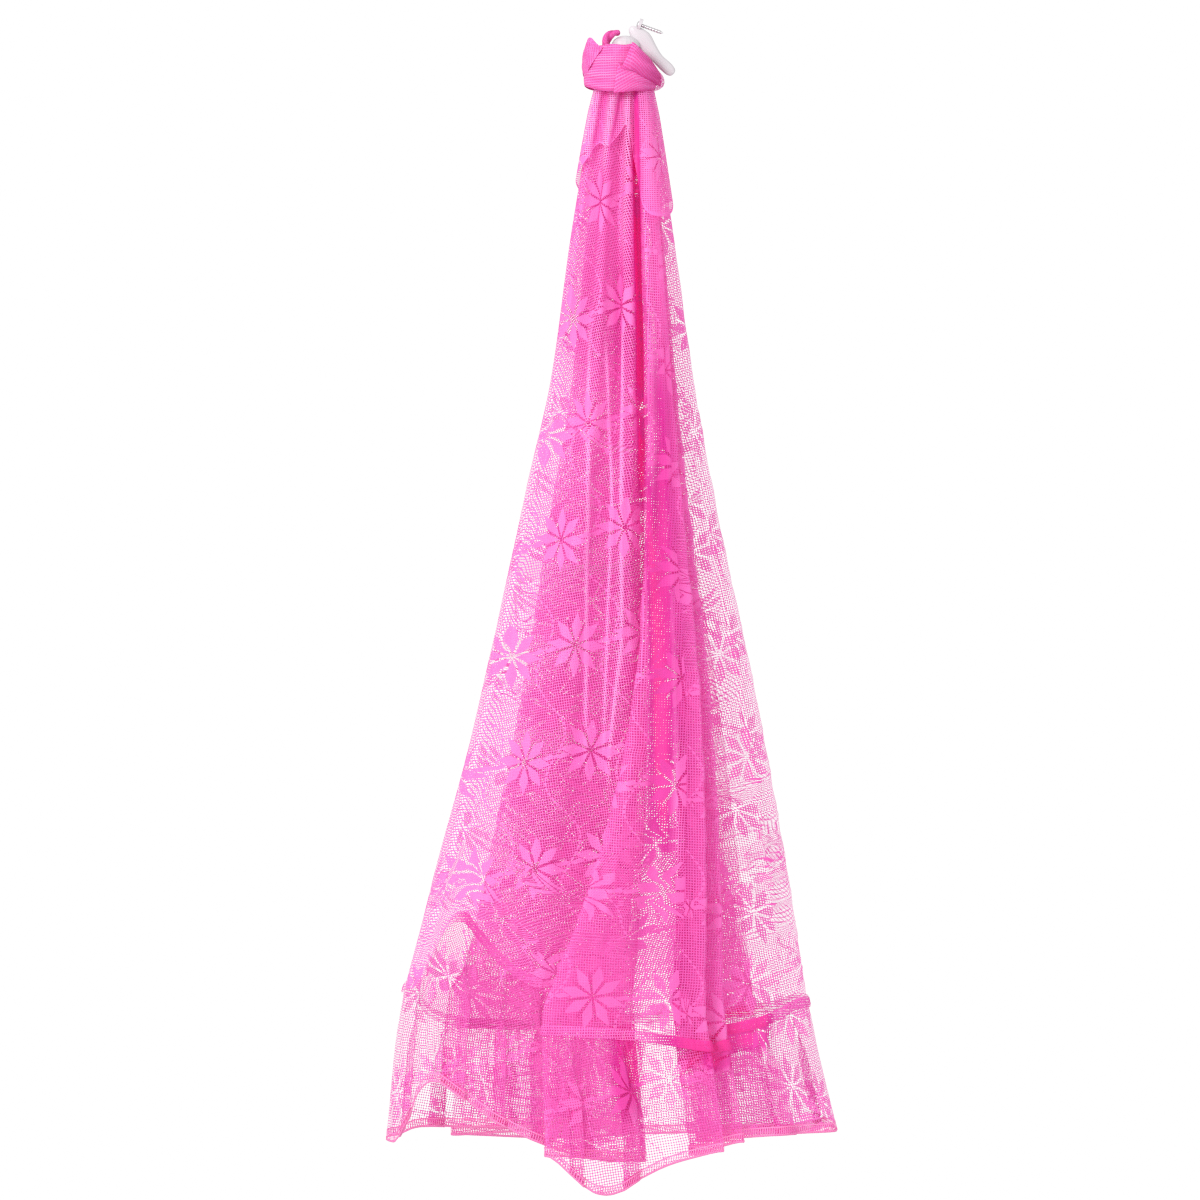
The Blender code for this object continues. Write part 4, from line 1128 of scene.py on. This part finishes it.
# the knot: the net's top end, wound round the neck and tucked over the hook
knot = dict(
    centreX=1.2,
    halfWidth=38.2,
    halfDepth=36.0,
    columns=240,
    rows=76,
    height=50.0,              # mm that a fold's height is reckoned on
    slack=3.6,                # mm that the winding lies closer in, on the right behind its loop
    slackAngle=20.0,
    inFolds=13,               # folds round the mouth, where the cloth is drawn in
    inFoldHeight=0.06,
    deep=-0.38,               # painted highlight: paler than the net
    rightShade=0.4,            # painted shade, more towards the right
    foldShade=0.3,             # and painted shade for each mm that a fold lies back
    edgeShade=0.7,             # and painted shade under its lower edge
)
knotRim = rowsOf("angle top bottom", [
    (0,   46, 63), (24,  39, 64), (41,  31, 65), (55,  25, 66), (71,  17, 66), (82,  18, 67),
    (109, 17, 68), (123, 18, 67), (136, 18, 65), (150, 15, 63), (165, 12, 61), (180, 14, 60), (215, 16, 62),
    (260, 19, 64), (305, 32, 65), (335, 43, 64), (360, 46, 63),
])
knotProfile = rowsOf("up out", [
    (0.09, 0.97), (0.0, 1.0), (0.15, 1.03), (0.45, 1.02), (0.78, 0.99), (0.97, 0.94), (0.90, 0.84),
    (0.80, 0.70), (0.74, 0.52), (0.66, 0.36), (0.50, 0.26),
])
# folds that run round the winding, from one angle and height up to another
knotFolds = rowsOf("start end startUp endUp width out", [
    (205,  60, 0.80, 0.84, 3.0, -0.9),
    (196,  90, 0.62, 0.70, 2.6,  0.8),
    (198,  60, 0.50, 0.46, 2.6, -0.8),
    (190,  50, 0.34, 0.30, 3.2,  0.9),
    (176,  30, 0.20, 0.17, 2.2, -1.0),
    (168, 100, 0.90, 0.62, 2.6,  0.7),
    (150,  95, 0.10, 0.34, 3.0, -0.7),
    (356, 212, 0.30, 0.72, 4.0, -2.0),
    (340, 230, 0.60, 0.40, 4.0,  1.8),
    (330, 200, 0.16, 0.22, 3.0, -1.6),
])


def knotPoint(angle, up, out, past):
    # a place on the knot: degrees round it from its right, share of its height, share of its
    # half width, and mm outside that
    turn = angle % 360
    top, bottom = tableAt(turn, knotRim, "angle", "top bottom")
    return np.stack([knot["centreX"] + np.cos(np.radians(angle)) * (knot["halfWidth"] * out + past),
                     -np.sin(np.radians(angle)) * (knot["halfDepth"] * out + past),
                     bottom + (top - bottom) * up], axis=-1)


level, angle = np.meshgrid(np.linspace(len(knotProfile) - 1, 0, knot["rows"]),
                           -360 * np.arange(knot["columns"]) / knot["columns"], indexing="ij")
up, out = alongRows(level, knotProfile, "up out")
turn = angle % 360
past = np.zeros(up.shape)
for fold in knotFolds:
    share = (fold.start - turn) / (fold.start - fold.end)
    away = (up - (fold.startUp + (fold.endUp - fold.startUp) * share)) * knot["height"]
    past += fold.out * np.exp(-(away / fold.width) ** 2) * fade(share, -0.05, 1.05, 0.15)
fromRight = (turn + 180) % 360 - 180
past -= knot["slack"] * np.exp(-(fromRight / knot["slackAngle"]) ** 2) * (up < 0.95)
# inside the winding the cloth is drawn in round the hook's stem, in folds
inside = np.clip((0.86 - out) / 0.25, 0.0, 1.0)
inFold = np.sin(np.radians(knot["inFolds"] * angle) + 3.0 * np.sin(np.radians(2 * angle)) + 5.0 * out)
knotGrid = knotPoint(angle, up + knot["inFoldHeight"] * inside * inFold, out, past * (1 - inside))
# painted shade: more towards the right, in folds that lie back, under the lower edge and inside the winding
rightness = 0.5 + 0.5 * np.cos(np.radians(turn))
knotPaintedShade = knot["deep"] - knot["foldShade"] * past + knot["rightShade"] * rightness
knotPaintedShade = np.clip(knotPaintedShade + knot["edgeShade"] * (up < 0.06) + inside * (0.3 - 0.5 * inFold), -0.7, 1.0)
knotBand = makeCloth("knotBand", knotGrid, ringCloth(knotGrid, knot["columns"] * 3 // 4), bunchedMaterial,
                     "net", "knot_band", deep=knotPaintedShade)

# Cloth that lies over the winding: four corners as (angle, up), how far out it lies and swells,
# how high its upper edge peaks and where, the way its grain leans, its ribs, and its painted
# shade at its left and right sides and along its upper and lower edges.
wraps = rowsOf("name nodes material topLeft topRight lowLeft lowRight out swell peak peakAt lean ribs "
               "left right upper lower dense", [
    ("knotEar",   [],            bunchedMaterial, (198, 0.66), (120, 0.93), (202, 0.22), (153, 0.30),
     0.8, 1.6, 0.27, 0.60, 56, 3.0, -0.40, 0.05, 0.0, 0.4, 0.0),
    ("knotUnder", [],            bunchedMaterial, (94, 0.60), (16, 0.36), (102, -0.03), (30, -0.04),
     0.7, 1.4, 0.0, 0.5, -28, 2.5, -0.20, 0.35, 0.9, 0.5, 0.0),
    ("knotWrap",  ["knot_wrap"], bunchedMaterial, (73, 1.0), (10, 0.97), (90, 0.47), (14, 0.10),
     2.6, 3.2, 0.0, 0.5, 16, 2.0, -0.15, 0.95, 0.0, 0.6, 0.0),
    ("knotLoop",  ["knot_loop"], netMaterial,     (22, 1.10), (-46, 1.10), (24, -0.05), (-46, 0.02),
     0.0, 7.4, 0.0, 0.5, 38, 1.0, 0.35, 0.35, 0.0, 0.0, 0.15),
])
wrapCloth = dict(
    columns=64,
    rows=44,
    ribHeight=0.4,            # mm
    # painted shade between its ribs
    ribShade=0.15,
    flowerAt=(18.0, 25.0),    # mm of cloth from its corner to the middle of a flower
)
for wrap in wraps:
    along, down = np.meshgrid(np.linspace(0, 1, wrapCloth["columns"]), np.linspace(0, 1, wrapCloth["rows"]))
    corners = np.array([wrap.topLeft, wrap.topRight, wrap.lowLeft, wrap.lowRight], float)[..., None, None]
    angle, up = ((1 - down) * ((1 - along) * corners[0] + along * corners[1])
                 + down * ((1 - along) * corners[2] + along * corners[3]))
    near = np.where(along < wrap.peakAt, along / wrap.peakAt, (1 - along) / (1 - wrap.peakAt))
    up = up + wrap.peak * (1 - down) ** 1.3 * np.sin(math.pi / 2 * near) ** 1.6
    [out] = tableAt(up, knotProfile[1:6], "up", "out", np.interp)
    rib = np.sin(2 * math.pi * (down * wrap.ribs + 0.5 * along))
    edge = np.sin(math.pi * down) * np.sin(math.pi * (0.15 + 0.7 * along))
    swell = wrap.swell * edge ** 0.7 + wrapCloth["ribHeight"] * rib * edge
    grid = knotPoint(angle, up, out, wrap.out + swell)
    u = np.concatenate([[0], np.cumsum(np.linalg.norm(np.diff(grid, axis=1), axis=-1).mean(axis=0))])
    v = np.concatenate([[0], np.cumsum(np.linalg.norm(np.diff(grid, axis=0), axis=-1).mean(axis=1))])
    cloth = leaning(*np.meshgrid(u, v), -wrap.lean) + wrapCloth["flowerAt"]
    deep = (wrap.left + (wrap.right - wrap.left) * along - wrapCloth["ribShade"] * rib
            + wrap.upper * np.exp(-(down / 0.16) ** 2) + wrap.lower * np.exp(-((1 - down) / 0.10) ** 2))
    makeCloth(wrap.name, grid, cloth, wrap.material, "net", *wrap.nodes, closed=False,
              deep=np.clip(deep, -0.7, 1.0), dense=wrap.dense)

# the twisted end that stands up out of the knot
tail = dict(
    around=36,
    along=60,
    twist=1.6,                # turns along its length
    lobes=0.30,               # share of its radius that the grooves between its two strands take
    closing=6,                # rows over which its free end closes
    cloth=(22.0, 38.0),       # mm of cloth round it and along it
    flowerAt=(24.0, 22.0),
)
knotTail = rowsOf("x y drop radius", [
    (-15.5, -5.6, 27.0, 4.4), (-14.8, -6.2, 15.0, 5.0), (-12.6, -6.8, 9.0, 4.9),
    (-9.2, -7.0,  6.0, 4.5), (-5.0, -6.5,  4.4, 3.9), (0.2, -6.0, 4.6, 2.8),
])
*middle, radius = alongRows(np.linspace(0, len(knotTail) - 1, tail["along"]), knotTail, "x y drop radius")
middle = np.column_stack(middle)
run = np.gradient(middle, axis=0)
run /= np.linalg.norm(run, axis=1)[:, None]
side = np.cross(run, (0.0, 1.0, 0.0))
side /= np.linalg.norm(side, axis=1)[:, None]
rise = np.cross(side, run)
turn = np.linspace(0, 2 * math.pi, tail["around"], endpoint=False)
twist = 2 * turn + tail["twist"] * 2 * math.pi * np.arange(tail["along"])[:, None] / tail["along"]
lobes = 1 - tail["lobes"] * (0.5 + 0.5 * np.sin(twist)) ** 2
closed = np.clip((np.arange(tail["along"]) - tail["along"] + tail["closing"]) / 5.2, 0, 1)
reach = (radius * np.sqrt(np.clip(1 - closed**2, 0.02, 1.0)))[:, None] * lobes
sideways = np.cos(turn)[:, None] * side[:, None] + np.sin(turn)[:, None] * rise[:, None]
tailGrid = middle[:, None] + reach[..., None] * sideways
tailU, tailV = np.meshgrid(np.linspace(0, tail["cloth"][0], tail["around"] + 1),
                           np.linspace(0, tail["cloth"][1], tail["along"]))
tailCloth = np.stack([tailU, tailV + 0.8 * tailU], axis=-1) + tail["flowerAt"]
# painted shade in the grooves between its two strands
makeCloth("knotTail", tailGrid, tailCloth, bunchedMaterial, "net", "knot_tail",
          deep=np.clip(0.1 + 2.2 * (1 - lobes), 0, 1))
print("knot made")

# the hook is the solid itself, in moulded plastic
hook = dict(colours=("#c8c1c6", "#d3cdd1"), roughness=0.34, coat=0.15)
hookMaterial = newMaterial("moulded polypropylene", cleared=False)
hookTree = hookMaterial.node_tree
hookShader = hookTree.nodes["Principled BSDF"]
# off-white polypropylene, lightly glossy, with the faint orange peel of its mould
peel = addNode(hookTree, "ShaderNodeTexNoise", {"Scale": 420.0, "Detail": 2.0})
tint = addNode(hookTree, "ShaderNodeMix", {0: peel.outputs["Fac"], 6: linear(hook["colours"][0]),
                                           7: linear(hook["colours"][1])}, data_type="RGBA")
relief = addNode(hookTree, "ShaderNodeBump", {"Strength": 0.1, "Distance": 0.0002,
                                              "Height": peel.outputs["Fac"]})
for name, value in {"Roughness": hook["roughness"], "IOR": 1.49, "Coat Weight": hook["coat"]}.items():
    hookShader.inputs[name].default_value = value
hookTree.links.new(tint.outputs[2], hookShader.inputs["Base Color"])
hookTree.links.new(relief.outputs[0], hookShader.inputs["Normal"])
for piece in bpy.data.objects:
    if piece.type == "MESH" and piece.name.startswith("hook"):
        piece.data.materials.clear()
        piece.data.materials.append(hookMaterial)

# the screw: a raised head, and a thread that runs out to a point, in mm
screw = dict(
    slope=20.0,               # degrees that it slopes down to its point
    head=3.9,                 # radius
    headTop=5.1,
    seat=2.95,
    core=1.75,                # radius
    thread=2.15,              # radius
    threadWidth=0.22,         # half of its width, as a share of the pitch
    pitch=3.1,
    reach=24.4,
    point=4.0,
    belowFace=4.4,            # from the hook's fixing face to the screw's middle
    around=48,
    along=420,
    colour="#dedadd",
    roughness=(0.24, 0.42),
)
screwMaterial = newMaterial("zinc-plated steel, drawn", cleared=False)
screwTree = screwMaterial.node_tree
screwShader = screwTree.nodes["Principled BSDF"]
# plated steel: bright, a little uneven in its sheen
cloud = addNode(screwTree, "ShaderNodeTexNoise", {"Scale": 900.0, "Detail": 3.0})
sheen = addNode(screwTree, "ShaderNodeMapRange", {"Value": cloud.outputs["Fac"],
                                                  "To Min": screw["roughness"][0],
                                                  "To Max": screw["roughness"][1]})
screwShader.inputs["Base Color"].default_value = linear(screw["colour"])
screwShader.inputs["Metallic"].default_value = 1.0
screwTree.links.new(sheen.outputs[0], screwShader.inputs["Roughness"])
level, turn = np.meshgrid(np.linspace(screw["headTop"], -screw["reach"], screw["along"]),
                          np.linspace(0, 2 * math.pi, screw["around"], endpoint=False), indexing="ij")
phase = (level / screw["pitch"] + turn / (2 * math.pi)) % 1
ridge = np.clip(1 - np.abs(phase - 0.5) / screw["threadWidth"], 0, 1) ** 0.8
radius = screw["core"] + (screw["thread"] - screw["core"]) * ridge * fade(level, -screw["reach"], 0.5, 1.5)
radius = radius * np.clip((level + screw["reach"]) / screw["point"], 0.03, 1) ** 0.6
dome = np.clip((level - screw["seat"]) / (screw["headTop"] - screw["seat"]), 0, 1)
radius = np.where(level > screw["seat"], screw["head"] * np.sqrt(np.clip(1 - dome**2, 0, 1)), radius)
slope = math.radians(screw["slope"])
axis = np.array([math.cos(slope), 0.0, -math.sin(slope)])
across = np.array([math.sin(slope), 0.0, math.cos(slope)])
fixed = np.array([-math.sin(slope), 0.0, -math.cos(slope)]) * screw["belowFace"]
sideways = np.cos(turn)[..., None] * across + np.sin(turn)[..., None] * np.array([0.0, 1.0, 0.0])
screwGrid = fixed - level[..., None] * axis + radius[..., None] * sideways
# makeCloth takes its rows from the net's plumb line and the hook's shoulder
screwGrid = np.stack([screwGrid[..., 0] - netAxisX, screwGrid[..., 1],
                      shoulderZ - screwGrid[..., 2]], axis=-1)
noCloth = np.zeros((*level.shape, 2))
makeCloth("threadedScrew", screwGrid, (noCloth, noCloth), screwMaterial, "screw_steel", "screw")
print("hook and screw finished")
